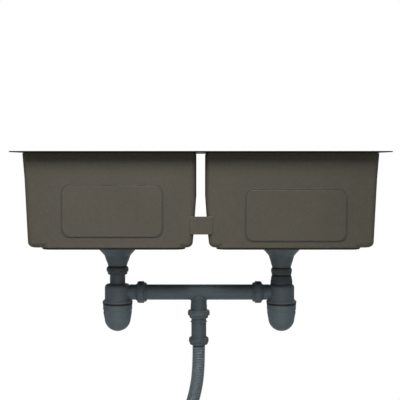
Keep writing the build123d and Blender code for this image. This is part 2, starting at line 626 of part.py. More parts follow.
# ---------------------------------------------------------------- nuts and seals
def union_nut(bore, hole, wall, step, length, plain, grips):
    """A union nut on +Z, its open end at z = 0 and its shoulder at z = length.

    plain is the length of the smooth collar at the shoulder, which is smaller by step;
    the rest carries the grip ribs.
    """
    outer = bore + wall - SLIP
    collar = max(outer - step, bore + NUT_MIN_WALL)
    barrel = outer - NUT_GROOVE
    step_z = length - plain
    shape = lathe([
        (bore, 0), (outer - NUT_EDGE, 0), (barrel, NUT_EDGE), (barrel, step_z - NUT_EDGE), (collar, step_z),
        (collar, length - NUT_EDGE), (collar - NUT_EDGE, length), (hole, length),
        (hole, length - NUT_SHOULDER), (bore, length - NUT_SHOULDER),
    ])
    rib_length = step_z - 2 * NUT_EDGE
    rib = Box(NUT_RIB_DEPTH, NUT_RIB_WIDTH, rib_length)
    shell = drum(outer, NUT_EDGE, NUT_EDGE + rib_length) - drum(bore + NUT_GROOVE, 0, length)
    for place in PolarLocations(outer - NUT_RIB_DEPTH / 2, grips):
        shape += (Pos(0, 0, step_z / 2) * place * rib) & shell
    return shape


def make_tail(name, side):
    """Neck seal, tail nut, its seal and the tail pipe, which dips into the trap."""
    x, neck_z = side["drain_x"], side["neck_z"]
    nut_top = neck_z - NECK_SEAL
    seal = ring(THREAD_RADIUS + NECK_SEAL_STEP, THREAD_RADIUS + SNUG, nut_top + SLIP, neck_z - SNUG, x)
    save(f"{name}_neck_seal", seal)
    length = nut_top - TAIL_NUT_LOW
    nut = union_nut(NUT_BORE, PIPE_RADIUS + SLIP, side["nut_wall"], side["nut_step"], length,
                    length * TAIL_NUT_PLAIN, TAIL_NUT_GRIPS)
    save(f"{name}_tail_nut", Pos(x, 0, nut_top) * Rot(180, 0, 0) * nut)
    save(f"{name}_tail_seal", ring(THREAD_RADIUS - SEAL_ROOM, PIPE_BORE, TAIL_FLANGE_TOP, TAIL_MOUTH, x))
    dip_low = TRAP_NECK_LOW - DIP
    pipe = lathe([
        (PIPE_BORE, TAIL_FLANGE_TOP), (FLANGE_RADIUS, TAIL_FLANGE_TOP), (FLANGE_RADIUS, TAIL_FLANGE_LOW),
        (PIPE_RADIUS, TAIL_FLANGE_LOW), (PIPE_RADIUS, dip_low), (PIPE_BORE, dip_low),
    ], x)
    save(f"{name}_tail_pipe", pipe)


def trap_shell(x):
    """The trap's upright body: a can with a socket at its top and a skirt and neck below."""
    socket = THREAD_RADIUS - SOCKET_LEDGE
    socket_outer = THREAD_RADIUS + SOCKET_WALL
    socket_low = TRAP_TOP - SOCKET_DEPTH
    lid_low = TRAP_TOP - TRAP_TOP_WALL
    return lathe([
        (PIPE_HOLE, TRAP_TOP), (TRAP_RADIUS, TRAP_TOP), (TRAP_RADIUS, SKIRT_TOP),
        (SKIRT_RADIUS - SKIRT_BEVEL, SKIRT_LOW + SKIRT_RIM + SKIRT_BEVEL),
        (SKIRT_RADIUS, SKIRT_LOW + SKIRT_RIM), (SKIRT_RADIUS, SKIRT_LOW), (TRAP_NECK_RADIUS, SKIRT_LOW),
        (TRAP_NECK_RADIUS, TRAP_NECK_LOW), (TRAP_INNER - SEAL_ROOM, TRAP_NECK_LOW), (TRAP_INNER, SKIRT_TOP),
        (TRAP_INNER, lid_low), (socket_outer, lid_low), (socket_outer, socket_low), (socket, socket_low),
        (socket, lid_low - SOCKET_LEDGE), (PIPE_HOLE, lid_low - SOCKET_LEDGE),
    ], x, rounds=((1, TRAP_TOP_ROUND), (2, TRAP_TOP_ROUND), (4, SKIRT_ROUND)))


def make_trap(name, side):
    """Trap body with its side outlet, the outlet's seal and nut, and the inlet's seal."""
    x, sign = side["drain_x"], side["sign"]
    nut_x = x - sign * OUTLET_REACH
    mouth = OUTLET_REACH + OUTLET_NUT_LENGTH - NUT_SHOULDER - TAIL_SEAL
    spigot = lathe([
        (0, 0), (PIPE_RADIUS, 0), (PIPE_RADIUS, OUTLET_REACH - OUTLET_FLARE), (THREAD_RADIUS, OUTLET_REACH),
        (THREAD_RADIUS, mouth), (0, mouth),
    ])
    socket_start = OUTLET_REACH - SHEET
    bore_start = TRAP_INNER - TRAP_WALL
    bore = lathe([
        (0, bore_start), (PIPE_BORE, bore_start), (PIPE_BORE, socket_start), (PIPE_HOLE, socket_start),
        (PIPE_HOLE, mouth + SHEET), (0, mouth + SHEET),
    ])
    core = drum(TRAP_INNER, TRAP_NECK_LOW, TRAP_TOP - TRAP_TOP_WALL, x)
    core += drum(PIPE_HOLE, CROSS_Z, TRAP_TOP, x)
    body = trap_shell(x) + (along_x(spigot, x, CROSS_Z, -sign) - core)
    body -= along_x(bore, x, CROSS_Z, -sign)
    if name == "right":
        body += make_inlet_collar(x)
    else:
        low = TRAP_TOP - SOCKET_DEPTH
        high = TRAP_TOP - TRAP_TOP_WALL - SOCKET_LEDGE
        save("left_inlet_seal", ring(THREAD_RADIUS - SOCKET_LEDGE - SNUG, PIPE_HOLE, low, high - SNUG, x))
    save(f"{name}_trap_body", body)

    seal = lathe([
        (PIPE_HOLE, 0), (THREAD_RADIUS - SEAL_ROOM, 0), (THREAD_RADIUS - SEAL_ROOM, TAIL_SEAL),
        (PIPE_HOLE, TAIL_SEAL),
    ])
    save(f"{name}_outlet_seal", along_x(seal, x - sign * mouth, CROSS_Z, -sign))
    nut = union_nut(NUT_BORE, PIPE_RADIUS + SLIP, OUTLET_NUT_WALL, OUTLET_NUT_STEP, OUTLET_NUT_LENGTH,
                    OUTLET_NUT_LENGTH * OUTLET_NUT_PLAIN, OUTLET_NUT_GRIPS)
    save(f"{name}_outlet_nut", along_x(nut, nut_x, CROSS_Z, -sign))
    return x - sign * (OUTLET_REACH + SLIP)


def make_inlet_collar(x):
    """The right-hand trap's collar nut with the seals there; returns the inlet it screws on."""
    top = TRAP_TOP + COLLAR_LENGTH
    seal_top = top - NUT_SHOULDER
    neck_top = seal_top - TAIL_SEAL
    low_radius = THREAD_RADIUS + COLLAR_LOW_WALL
    top_radius = THREAD_RADIUS + COLLAR_TOP_WALL
    collar = lathe([
        (NUT_BORE, TRAP_TOP + SLIP), (low_radius, TRAP_TOP + SLIP), (low_radius, TRAP_TOP + COLLAR_STRAIGHT),
        (top_radius, top - COLLAR_TOP_STRAIGHT), (top_radius - COLLAR_EDGE, top), (PIPE_RADIUS + SLIP, top),
        (PIPE_RADIUS + SLIP, seal_top), (NUT_BORE, seal_top),
    ], x, rounds=((1, COLLAR_EDGE), (3, COLLAR_EDGE)))
    save("right_inlet_collar", collar)
    save("right_inlet_seal", ring(THREAD_RADIUS - SEAL_ROOM, PIPE_HOLE, neck_top, seal_top, x))
    save("right_collar_seal", ring(top_radius - COLLAR_EDGE, PIPE_HOLE, top, TAIL_NUT_LOW - SLIP, x))
    return ring(THREAD_RADIUS, PIPE_HOLE, TRAP_TOP - SHEET, neck_top, x)


def make_cup(name, x):
    """The trap's screwed cup and the black seal above it."""
    bore = TRAP_NECK_RADIUS + SLIP
    save(f"{name}_cup_seal", ring(SKIRT_RADIUS - CUP_SEAL_INSET, bore, CUP_TOP, SKIRT_LOW, x))
    ring_radius = TRAP_RADIUS + CUP_RING_STEP
    grip = TRAP_RADIUS + CUP_GRIP_STEP
    barrel = grip - CUP_GRIP_DEPTH
    outside = lathe([
        (0, CUP_TOP), (ring_radius, CUP_TOP), (ring_radius, CUP_RING_LOW + SKIRT_ROUND),
        (ring_radius - SKIRT_ROUND, CUP_RING_LOW), (barrel, CUP_RING_LOW - CUP_GRIP_DEPTH),
        (barrel, CUP_GRIP_LOW), (CUP_DOME_RADIUS, CUP_DOME_Z), (0, CUP_DOME_Z),
    ], x, rounds=((1, SKIRT_ROUND),))
    shell = ring(grip, CUP_DOME_RADIUS - CUP_GRIP_DEPTH, CUP_GRIP_LOW, CUP_RING_LOW, x)
    rib = Box(2 * CUP_WALL, CUP_GRIP_WIDTH, CUP_GRIP)
    half_turn = 180 / CUP_GRIPS
    for place in PolarLocations(grip - CUP_GRIP_DEPTH, CUP_GRIPS, start_angle=half_turn):
        outside += (Pos(x, 0, (CUP_GRIP_LOW + CUP_RING_LOW) / 2) * place * rib) & shell
    middle = Pos(x, 0, CUP_DOME_Z)
    inner = CUP_DOME_RADIUS - CUP_WALL
    inside = drum(bore, CUP_RING_LOW + SHEET, CUP_TOP + SHEET, x)
    inside += drum(inner, CUP_DOME_Z, CUP_RING_LOW + 2 * SHEET, x)
    inside += middle * Sphere(inner)
    save(f"{name}_trap_cup", outside + middle * Sphere(CUP_DOME_RADIUS) - inside)


# ---------------------------------------------------------------- tee and outlet
def make_tee(left_end, right_end):
    """The cross pipe with its outlet spigot and the seal in the spigot's mouth."""
    length = right_end - left_end
    middle = (left_end + right_end) / 2
    tube = Pos(middle, 0, CROSS_Z) * Rot(0, 90, 0) * Cylinder(PIPE_RADIUS, length)
    core = Pos(middle, 0, CROSS_Z) * Rot(0, 90, 0) * Cylinder(PIPE_BORE, length + 2 * SHEET)
    flange_top = TEE_NUT_LOW + NUT_SHOULDER + TAIL_FLANGE
    mouth = flange_top + TAIL_SEAL
    top_radius = PIPE_RADIUS + TEE_SPIGOT_STEP
    low_radius = top_radius + TEE_SPIGOT_FLARE
    flare = THREAD_RADIUS - low_radius
    spigot = lathe([
        (0, CROSS_Z), (top_radius, CROSS_Z), (top_radius, CROSS_Z - PIPE_RADIUS),
        (low_radius, TEE_SPIGOT_LOW + flare + TEE_SPIGOT_STRAIGHT), (low_radius, TEE_SPIGOT_LOW + flare),
        (THREAD_RADIUS, TEE_SPIGOT_LOW), (THREAD_RADIUS, mouth), (0, mouth),
    ], TEE_X)
    tee = tube + spigot - core - drum(PIPE_BORE, mouth - SHEET, CROSS_Z, TEE_X)
    save("tee_pipe", tee)
    save("tee_outlet_seal", ring(THREAD_RADIUS - SEAL_ROOM, PIPE_BORE, flange_top, mouth, TEE_X))
    nut = union_nut(NUT_BORE, ADAPTER_RADIUS + SLIP, TEE_NUT_WALL, TEE_NUT_STEP, TEE_NUT_LENGTH,
                    TEE_NUT_LENGTH * TAIL_NUT_PLAIN, TEE_NUT_GRIPS)
    save("tee_outlet_nut", Pos(TEE_X, 0, TEE_NUT_TOP) * Rot(180, 0, 0) * nut)


def make_adapter():
    """The adapter pipe, the nut below it and the collar that the hose is fixed in."""
    shoulder = TEE_NUT_LOW + NUT_SHOULDER
    flange_top = shoulder + TAIL_FLANGE
    ring_z = TEE_NUT_LOW - ADAPTER_RING_DROP
    ring_radius = ADAPTER_RADIUS + ADAPTER_RING_STEP
    hose_shoulder = HOSE_NUT_LOW + NUT_SHOULDER
    collar_top = hose_shoulder + HOSE_COLLAR_FLANGE
    adapter = lathe([
        (ADAPTER_BORE, flange_top), (FLANGE_RADIUS, flange_top), (FLANGE_RADIUS, shoulder),
        (ADAPTER_RADIUS, shoulder), (ADAPTER_RADIUS, ring_z + ADAPTER_RING / 2),
        (ring_radius, ring_z + ADAPTER_RING_FLAT / 2), (ring_radius, ring_z - ADAPTER_RING_FLAT / 2),
        (ADAPTER_RADIUS, ring_z - ADAPTER_RING / 2), (ADAPTER_RADIUS, HOSE_NUT_TOP + 2 * NUT_EDGE),
        (HOSE_THREAD, HOSE_NUT_TOP + NUT_EDGE), (HOSE_THREAD, collar_top), (ADAPTER_BORE, collar_top),
    ], TEE_X)
    save("hose_adapter", adapter)
    nut = union_nut(HOSE_THREAD + SLIP, HOSE_COLLAR_RADIUS + SLIP, HOSE_NUT_WALL, HOSE_NUT_STEP,
                    HOSE_NUT_LENGTH, HOSE_NUT_LENGTH * HOSE_NUT_PLAIN, HOSE_NUT_GRIPS)
    save("hose_nut", Pos(TEE_X, 0, HOSE_NUT_TOP) * Rot(180, 0, 0) * nut)
    flange = HOSE_THREAD - SEAL_ROOM
    collar = lathe([
        (HOSE_BORE, collar_top), (flange, collar_top), (flange, hose_shoulder),
        (HOSE_COLLAR_RADIUS, hose_shoulder), (HOSE_COLLAR_RADIUS, HOSE_TOP_Z), (HOSE_BORE, HOSE_TOP_Z),
    ], TEE_X)
    save("hose_collar", collar)


def hose_path():
    """The hose's centre line: straight runs joined by the largest arcs that they allow."""
    points = [Vector(*offset) + Vector(TEE_X, 0, HOSE_TOP_Z) for offset in HOSE_ROUTE]
    arcs = []
    for before, at, after in zip(points, points[1:], points[2:]):
        turn = radians((at - before).get_angle(after - at))
        shorter = min((at - before).length, (after - at).length)
        arcs.append(HOSE_ARC_SHARE * shorter / tan(turn / 2))
    print("hose arc radii, mm:", [round(radius) for radius in arcs])
    return FilletPolyline(*points, radius=arcs)


def ring_at(path, distance, radius):
    """A circle across the path, with its X axis kept steady along the hose."""
    centre = path.position_at(distance, position_mode=PositionMode.LENGTH)
    way = path.tangent_at(distance, position_mode=PositionMode.LENGTH)
    across = Vector(0, 1, 0) - way * way.Y
    return Plane(origin=centre, x_dir=across, z_dir=way) * Circle(radius)


def make_hose():
    """The corrugated hose, with its bore."""
    path = hose_path()
    length = path.length
    count = int(length / HOSE_RIB_PITCH)
    pitch = length / count
    crest_end = HOSE_RIB_SLOPE + HOSE_RIB_TOP
    shape_of_rib = (
        (0.0, HOSE_ROOT), (HOSE_RIB_SLOPE, HOSE_CREST), (crest_end, HOSE_CREST),
        (crest_end + HOSE_RIB_SLOPE, HOSE_ROOT),
    )
    sections = []
    for rib in range(count):
        for share, radius in shape_of_rib:
            sections.append(ring_at(path, (rib + share) * pitch, radius))
    sections.append(ring_at(path, length, HOSE_ROOT))
    hose = loft(sections, ruled=True) - sweep(ring_at(path, 0.0, HOSE_BORE), path=path)
    slopes = (HOSE_ROOT**2 + HOSE_ROOT * HOSE_CREST + HOSE_CREST**2) / 3
    root_share = 1 - HOSE_RIB_TOP - 2 * HOSE_RIB_SLOPE
    outside = root_share * HOSE_ROOT**2 + HOSE_RIB_TOP * HOSE_CREST**2 + 2 * HOSE_RIB_SLOPE * slopes
    section = pi * (outside - HOSE_BORE**2)
    print(f"hose: {length:.1f} mm long, {count} ribs, volume {hose.volume:.0f} mm3, "
          f"mean section times length {section * length:.0f} mm3")
    save("drain_hose", hose)


def make_cuff():
    """The rubber cuff at the hose's end, whose spigot goes into the house's waste pipe."""
    x, y = HOSE_ROUTE[-1][0] + TEE_X, HOSE_ROUTE[-1][1]
    top = HOSE_TOP_Z + HOSE_ROUTE[-1][2]
    sleeve_low = top - CUFF_SLEEVE
    spigot_top = sleeve_low - CUFF_STEP
    spigot = CUFF_SLEEVE_RADIUS + CUFF_STEP
    bore = spigot - CUFF_WALL
    low = spigot_top - CUFF_SPIGOT
    cuff = lathe([
        (HOSE_BORE, top), (CUFF_SLEEVE_RADIUS - CUFF_BEVEL, top), (CUFF_SLEEVE_RADIUS, top - CUFF_BEVEL),
        (CUFF_SLEEVE_RADIUS, sleeve_low), (spigot, spigot_top), (spigot, low + CUFF_BEVEL),
        (spigot - CUFF_BEVEL, low), (bore, low), (bore, spigot_top - CUFF_WALL), (HOSE_BORE, sleeve_low),
    ], x, y)
    save("hose_end_cuff", cuff)


def main():
    os.makedirs("parts", exist_ok=True)
    outsides = [make_bowl(name, side) for name, side in SIDES.items()]
    make_rim(outsides)
    make_strap()
    make_screws()
    ends = []
    for name, side in SIDES.items():
        x = side["drain_x"]
        make_strainer_rim(name, x)
        make_strainer_body(name, side)
        make_basket(name, x)
        make_stopper(name, x)
        make_tail(name, side)
        ends.append(make_trap(name, side))
        make_cup(name, x)
    make_tee(*ends)
    make_adapter()
    make_hose()
    make_cuff()


main()
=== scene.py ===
# %% [markdown]
# # A double bowl kitchen sink, seen from its side
#
# The sizes and places of all pieces come from a CAD model of the sink. Here each piece that shows is
# modelled again with the soft edges, grips and finishes of the real one. The origin is on the underside
# of the rim between the bowls, and +Z is up. Blender works in metres; the lists below are in
# millimetres, as on a plumber's drawing, and MM turns them into metres.

from math import atan, atan2, cos, pi, radians, sin, sqrt

import bmesh
import bpy
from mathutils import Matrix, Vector


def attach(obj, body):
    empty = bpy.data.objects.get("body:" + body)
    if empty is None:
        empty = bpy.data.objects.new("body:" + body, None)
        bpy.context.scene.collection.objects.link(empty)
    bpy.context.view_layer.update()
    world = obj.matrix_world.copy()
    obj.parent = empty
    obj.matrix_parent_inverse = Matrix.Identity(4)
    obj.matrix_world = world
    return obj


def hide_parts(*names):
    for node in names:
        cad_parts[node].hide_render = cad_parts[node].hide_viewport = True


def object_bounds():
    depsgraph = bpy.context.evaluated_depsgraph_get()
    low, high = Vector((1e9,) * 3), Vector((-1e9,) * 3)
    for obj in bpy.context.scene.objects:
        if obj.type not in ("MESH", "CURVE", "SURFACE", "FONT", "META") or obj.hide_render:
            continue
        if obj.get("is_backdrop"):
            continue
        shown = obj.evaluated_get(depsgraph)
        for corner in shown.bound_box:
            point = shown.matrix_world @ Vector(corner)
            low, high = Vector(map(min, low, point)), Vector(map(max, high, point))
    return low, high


MM = 0.001
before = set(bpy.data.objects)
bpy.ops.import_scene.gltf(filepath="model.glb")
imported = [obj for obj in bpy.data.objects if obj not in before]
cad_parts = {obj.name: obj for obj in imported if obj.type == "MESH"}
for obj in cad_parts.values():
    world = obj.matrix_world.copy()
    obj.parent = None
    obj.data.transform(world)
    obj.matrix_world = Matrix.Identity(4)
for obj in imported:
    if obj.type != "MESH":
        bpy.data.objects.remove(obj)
cad_box = [list(corner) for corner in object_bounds()]
print("CAD box in metres:", cad_box)

# %% [markdown]
# ## The camera
# The photograph is taken square to the sink's long side, a little below the rim. A long lens far away
# keeps the walls almost parallel. The lens could be shifted to show what hangs below, but the camera is
# tipped down instead, so that every other view of the sink frames it as well. It is tipped until its own
# height shows as far above the picture's middle as in the photograph.

# %% The camera
CAMERA_AT = (-0.0019, -2.347, -0.0235)
LENS, SENSOR = 85.5, 36
PHOTO_PIXELS = 400
HORIZON_PIXELS = 37.4
CAMERA_TIP = atan(HORIZON_PIXELS / (PHOTO_PIXELS * LENS / SENSOR))

camera_data = bpy.data.cameras.new("photo_camera")
camera_data.lens = LENS
camera_data.sensor_width = SENSOR
camera = bpy.data.objects.new("photo_camera", camera_data)
camera.location = CAMERA_AT
camera.rotation_euler = (pi / 2 - CAMERA_TIP, 0, 0)
bpy.context.collection.objects.link(camera)
bpy.context.scene.camera = camera
print("camera looks down", round(CAMERA_TIP * 180 / pi, 2), "degrees")

# %% [markdown]
# ## The drain hose
# A corrugated hose hangs from the last nut. It leaves its collar straight down, leans to the left and
# comes back to upright under its own weight. A chain of straight pieces would look like bent wire, so
# its line is one smooth NURBS curve through a few given points. Order and end points are set
# after the points are added, because set before, they don't take hold.

# %% The hose's line
HOSE_TOP = Vector((-0.0049, 0, -0.4783))
HOSE_ROUTE = [
    (0, 0, 0), (0, 0, -0.0617), (-0.0099, 0.0015, -0.1239), (-0.0303, 0.005, -0.1867),
    (-0.0558, 0.01, -0.2498), (-0.0797, 0.016, -0.3156), (-0.0971, 0.021, -0.3855),
    (-0.1068, 0.024, -0.4548), (-0.1103, 0.025, -0.5207), (-0.1103, 0.025, -0.5827),
]

curve = bpy.data.curves.new("hose_line", "CURVE")
curve.dimensions = "3D"
spline = curve.splines.new("NURBS")
spline.points.add(len(HOSE_ROUTE) - 1)
for point, offset in zip(spline.points, HOSE_ROUTE):
    point.co = (*(HOSE_TOP + Vector(offset)), 1)
spline.order_u = 3
spline.use_endpoint_u = True
guide = bpy.data.objects.new("hose_line", curve)
bpy.context.collection.objects.link(guide)
guide_mesh = bpy.data.meshes.new_from_object(guide)
hose_line = [vertex.co.copy() for vertex in guide_mesh.vertices]
bpy.data.objects.remove(guide)
bpy.data.meshes.remove(guide_mesh)
hose_length = sum((b - a).length for a, b in zip(hose_line, hose_line[1:]))
print("hose line:", len(hose_line), "points,", round(hose_length, 4), "m long")

# %% [markdown]
# The hose is a skin over many rings. Each ring has its middle on the line and stands square to the way
# the line runs there. It keeps one side to the back, so that the skin doesn't twist.

# %% A ring on the line
HOSE_SIDES = 32


def place_on_line(distance):
    """The point of the hose's line at a distance along it, and the way it runs there."""
    for a, b in zip(hose_line, hose_line[1:]):
        step = (b - a).length
        if distance <= step or b is hose_line[-1]:
            return a.lerp(b, distance / step), (b - a).normalized()
        distance -= step


def ring_on_line(distance, radius):
    """The points of one ring across the hose."""
    centre, way = place_on_line(distance)
    across = (Vector((0, 1, 0)) - way * way.y).normalized()
    other = way.cross(across)
    angles = [2 * pi * i / HOSE_SIDES for i in range(HOSE_SIDES)]
    return [centre + radius * (across * cos(angle) + other * sin(angle)) for angle in angles]


print("halfway down, the hose's middle is at", place_on_line(hose_length / 2)[0])

# %% [markdown]
# The corrugations are real ribs, 4 mm apart, so the hose's edge is ribbed in outline too. Rings are
# placed along the line, wide on a rib and narrow between two, and joined into one skin. The skin goes
# back up inside as a smooth bore, so the tube has a real wall and no open edge. Little light gets down
# between two ribs, so the points there carry a mark for painted shade, which makes the finish darker.

# %% The hose
HOSE_CREST, HOSE_ROOT, HOSE_BORE = 15.9 * MM, 14.1 * MM, 11.4 * MM
HOSE_RIBS = 149
BORE_RINGS = 40
RIB_SHAPE = [(0.0, HOSE_ROOT), (0.13, HOSE_ROOT), (0.27, HOSE_CREST), (0.44, HOSE_CREST),
             (0.58, HOSE_CREST), (0.72, HOSE_ROOT)]

rib_pitch = hose_length / HOSE_RIBS
stations = [((rib + share) * rib_pitch, radius) for rib in range(HOSE_RIBS) for share, radius in RIB_SHAPE]
stations += [(hose_length, HOSE_ROOT)]
stations += [(hose_length * (1 - i / BORE_RINGS), HOSE_BORE) for i in range(BORE_RINGS + 1)]
verts = [vert for distance, radius in stations for vert in ring_on_line(distance, radius)]
faces = []
for ring in range(len(stations)):
    for i in range(HOSE_SIDES):
        a, b = ring * HOSE_SIDES + i, ring * HOSE_SIDES + (i + 1) % HOSE_SIDES
        c, d = (b + HOSE_SIDES) % len(verts), (a + HOSE_SIDES) % len(verts)
        faces.append((a, d, c, b))
hose_mesh = bpy.data.meshes.new("corrugated_hose")
hose_mesh.from_pydata(verts, [], faces)
# Painted shade: the points at each rib's root are marked, and the finish paints them darker.
painted_groove_shade = [float(radius == HOSE_ROOT) for distance, radius in stations for side in range(HOSE_SIDES)]
hose_mesh.attributes.new("painted_shade_and_tone", "FLOAT", "POINT").data.foreach_set("value", painted_groove_shade)
hose = bpy.data.objects.new("corrugated_hose", hose_mesh)
bpy.context.collection.objects.link(hose)
print("hose:", len(faces), "faces,", round(rib_pitch / MM, 2), "mm from rib to rib")

# %% [markdown]
# ## Working by hand, in code
# The pieces are modelled with the tools of edit mode. A tool acts on all that is selected, and loading
# the CAD model leaves its pieces selected. So each step first clears the selection, or selects just the
# pieces that it works on.

# %% Selecting pieces
def clear_selection():
    bpy.ops.object.select_all(action="DESELECT")


def select_only(*pieces):
    """Select these pieces and no others. The first one is the active one."""
    clear_selection()
    for piece in pieces:
        piece.select_set(True)
    bpy.context.view_layer.objects.active = pieces[0]


def edit(piece):
    """Open one piece in edit mode with nothing selected in it."""
    select_only(piece)
    bpy.ops.object.mode_set(mode="EDIT")
    bpy.ops.mesh.select_all(action="DESELECT")


def leave_edit():
    bpy.ops.object.mode_set(mode="OBJECT")


def settle(piece):
    """Put a piece's place and turn into its mesh, so that its object is at the origin."""
    select_only(piece)
    bpy.ops.object.transform_apply(location=True, rotation=True, scale=True)


print("selected by loading:", len(bpy.context.selected_objects), "pieces")

# %% [markdown]
# Inside a piece, faces and points are picked by where they are. Their numbers would be shorter to
# write, but they change with every tool.

# %% Picking by place
def pick_faces(test):
    """Select the faces whose middle, in mm, passes a test."""
    mesh = bmesh.from_edit_mesh(bpy.context.object.data)
    bpy.ops.mesh.select_mode(type="FACE")
    bpy.ops.mesh.select_all(action="DESELECT")
    for face in mesh.faces:
        face.select_set(test(face.calc_center_median() / MM))
    bmesh.update_edit_mesh(bpy.context.object.data)


def pick_verts(test):
    """Select the points whose place, in mm, passes a test, and the edges between them."""
    mesh = bmesh.from_edit_mesh(bpy.context.object.data)
    bpy.ops.mesh.select_mode(type="VERT")
    bpy.ops.mesh.select_all(action="DESELECT")
    for vert in mesh.verts:
        vert.select_set(test(vert.co / MM))
    mesh.select_flush_mode()
    bmesh.update_edit_mesh(bpy.context.object.data)


def pick_levels(*heights):
    """Select the points at any of these heights, in mm, and the edges between them."""
    pick_verts(lambda at: any(abs(at.z - height) < 0.01 for height in heights))


# %% [markdown]
# ### Turned pieces
# Pipes, nuts, cups and funnels are round, so they could be drawn as half a section and spun. Here a
# circle is extruded from point to point of that section and resized at each step, as on a lathe.
# At the end it comes back to the section's first point. The doubled ring is merged, and the wall is
# closed all round.

# %% A lathe
def add_ring(radius, height, x=0.0, y=0.0, points=72):
    """Add a circle of edges, with its size and place in mm."""
    bpy.ops.mesh.primitive_circle_add(
        vertices=points, radius=radius * MM, location=(x * MM, y * MM, height * MM))


def grow_ring(section, x=0.0, y=0.0):
    """Extrude the selected ring, which is a section's first point, through its other points."""
    for (radius, height), (next_radius, next_height) in zip(section, section[1:]):
        rise = (0, 0, (next_height - height) * MM)
        bpy.ops.mesh.extrude_region_move(TRANSFORM_OT_translate={"value": rise})
        grow = next_radius / radius
        bpy.ops.transform.resize(value=(grow, grow, 1), center_override=(x * MM, y * MM, next_height * MM))


def turned(name, section, x=0.0, y=0.0, sides=72):
    """Turn a section of (radius, height) points, in mm, round an upright axis."""
    clear_selection()
    add_ring(*section[0], x, y, sides)
    piece = bpy.context.object
    piece.name = name
    bpy.ops.object.mode_set(mode="EDIT")
    bpy.ops.mesh.select_mode(type="VERT")
    bpy.ops.mesh.select_all(action="SELECT")
    grow_ring(section + section[:1], x, y)
    bpy.ops.mesh.select_all(action="SELECT")
    bpy.ops.mesh.remove_doubles(threshold=0.001 * MM)
    bpy.ops.mesh.normals_make_consistent(inside=False)
    bpy.ops.mesh.select_all(action="DESELECT")
    leave_edit()
    settle(piece)
    return piece


def arc(radius, height, size, start, end, steps):
    """Points of an arc round (radius, height), from one angle to another in degrees."""
    angles = [radians(start + (end - start) * i / steps) for i in range(steps + 1)]
    return [(radius + size * cos(angle), height + size * sin(angle)) for angle in angles]


# %% [markdown]
# ### Soft edges
# No moulded or pressed edge is perfectly sharp, and a sharp edge catches no light. A Bevel modifier
# rounds every corner steeper than its angle, and a Weighted Normal modifier keeps the flat faces
# flat beside the rounding. Both are applied, so that the mesh itself has the shape.

# %% Soft edges
def apply_modifier(piece, kind, **settings):
    select_only(piece)
    modifier = piece.modifiers.new(kind, kind)
    for name, value in settings.items():
        setattr(modifier, name, value)
    bpy.ops.object.modifier_apply(modifier=modifier.name)


def soften(piece, width=0.4, segments=2, corner=32):
    """Round the corners of a piece, in mm, and shade it smoothly."""
    settle(piece)
    if width:
        apply_modifier(piece, "BEVEL", width=width * MM, segments=segments, limit_method="ANGLE",
                       angle_limit=radians(corner))
    bpy.ops.object.shade_smooth_by_angle(angle=radians(38))
    apply_modifier(piece, "WEIGHTED_NORMAL", keep_sharp=True)


# %% [markdown]
# ### Marks and seats
# A mark is a number from 0 to 1 on each point of a piece. A finish reads it as an attribute: how much
# painted shade a point gets in a crevice, or how much darker the plastic is painted there than on the
# other pieces, as painted shade on most pieces and as a darker tone of plastic on two.
# Each finished piece then says which body it rides on, which finish it has and which CAD nodes it
# stands for. The hose, whose mesh is ready, is the first.

# %% Marks and seats
made = []


def mark(piece, name, share):
    """Give each point of a piece a number from 0 to 1, worked out from its place in mm."""
    values = piece.data.attributes.new(name, "FLOAT", "POINT")
    for vert, value in zip(piece.data.vertices, values.data):
        value.value = share(vert.co / MM)


def seat(piece, body, slot, *nodes):
    """Say which body a piece rides on, whose finish it has and which CAD nodes it stands for."""
    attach(piece, body)
    if nodes:
        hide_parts(*nodes)
    made.append((piece, slot))
    print(piece.name, len(piece.data.polygons), "faces")


hose.data.polygons.foreach_set("use_smooth", [True] * len(hose.data.polygons))
seat(hose, "sink", "hose_plastic", "drain_hose")
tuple(hose_line[0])

# %% [markdown]
# ### Rounded rectangles
# Bowls, coats and pads are all drawn from a rounded rectangle: a plane with its four corners
# bevelled, whose outline is extruded level by level and fitted to the size it has there.

# %% A rounded rectangle that grows
def start_loop(name, low, high, half, z, corner, steps=15):
    """Leave the outline of a rounded rectangle selected, open in edit mode. Sizes are in mm."""
    clear_selection()
    bpy.ops.mesh.primitive_plane_add(size=1, location=((low + high) / 2 * MM, 0, z * MM))
    piece = bpy.context.object
    piece.name = name
    piece.scale = ((high - low) * MM, 2 * half * MM, 1)
    bpy.ops.object.transform_apply(location=True, rotation=True, scale=True)
    bpy.ops.object.mode_set(mode="EDIT")
    bpy.ops.mesh.select_mode(type="VERT")
    bpy.ops.mesh.select_all(action="SELECT")
    bpy.ops.mesh.bevel(offset=corner * MM, segments=steps, affect="VERTICES", offset_type="OFFSET")
    bpy.ops.mesh.delete(type="ONLY_FACE")
    bpy.ops.mesh.select_all(action="SELECT")
    return piece


def grow_loops(loops):
    """Extrude the selected outline through a list of (low, high, half, z)."""
    for (low, high, half, z), (new_low, new_high, new_half, new_z) in zip(loops, loops[1:]):
        shift = ((new_low + new_high) - (low + high)) / 2
        move = (shift * MM, 0, (new_z - z) * MM)
        bpy.ops.mesh.extrude_region_move(TRANSFORM_OT_translate={"value": move})
        middle = ((new_low + new_high) / 2 * MM, 0, new_z * MM)
        size = ((new_high - new_low) / (high - low), new_half / half, 1)
        bpy.ops.transform.resize(value=size, center_override=middle)


# %% [markdown]
# ## The bowls' walls
# A pressed bowl needs draft, or it won't come off its punch. The walls lean in a little over the top
# 60 mm and less below. Only the wall beside the gap is upright for its first 110 mm.

# %% How the walls lean
DEPTH, UPPER_WALL, STRAIGHT = 214.8, 60.0, 110.0
UPPER_LEAN, LOWER_LEAN, GAP_LEAN = 4.1, 6.1, 7.4
BOWL_END, BOWL_HALF, GAP_HALF = 404.5, 199.0, 12.5
DRAINS = {"left": -206.3, "right": 200.1}
SIGN = {"left": -1, "right": 1}


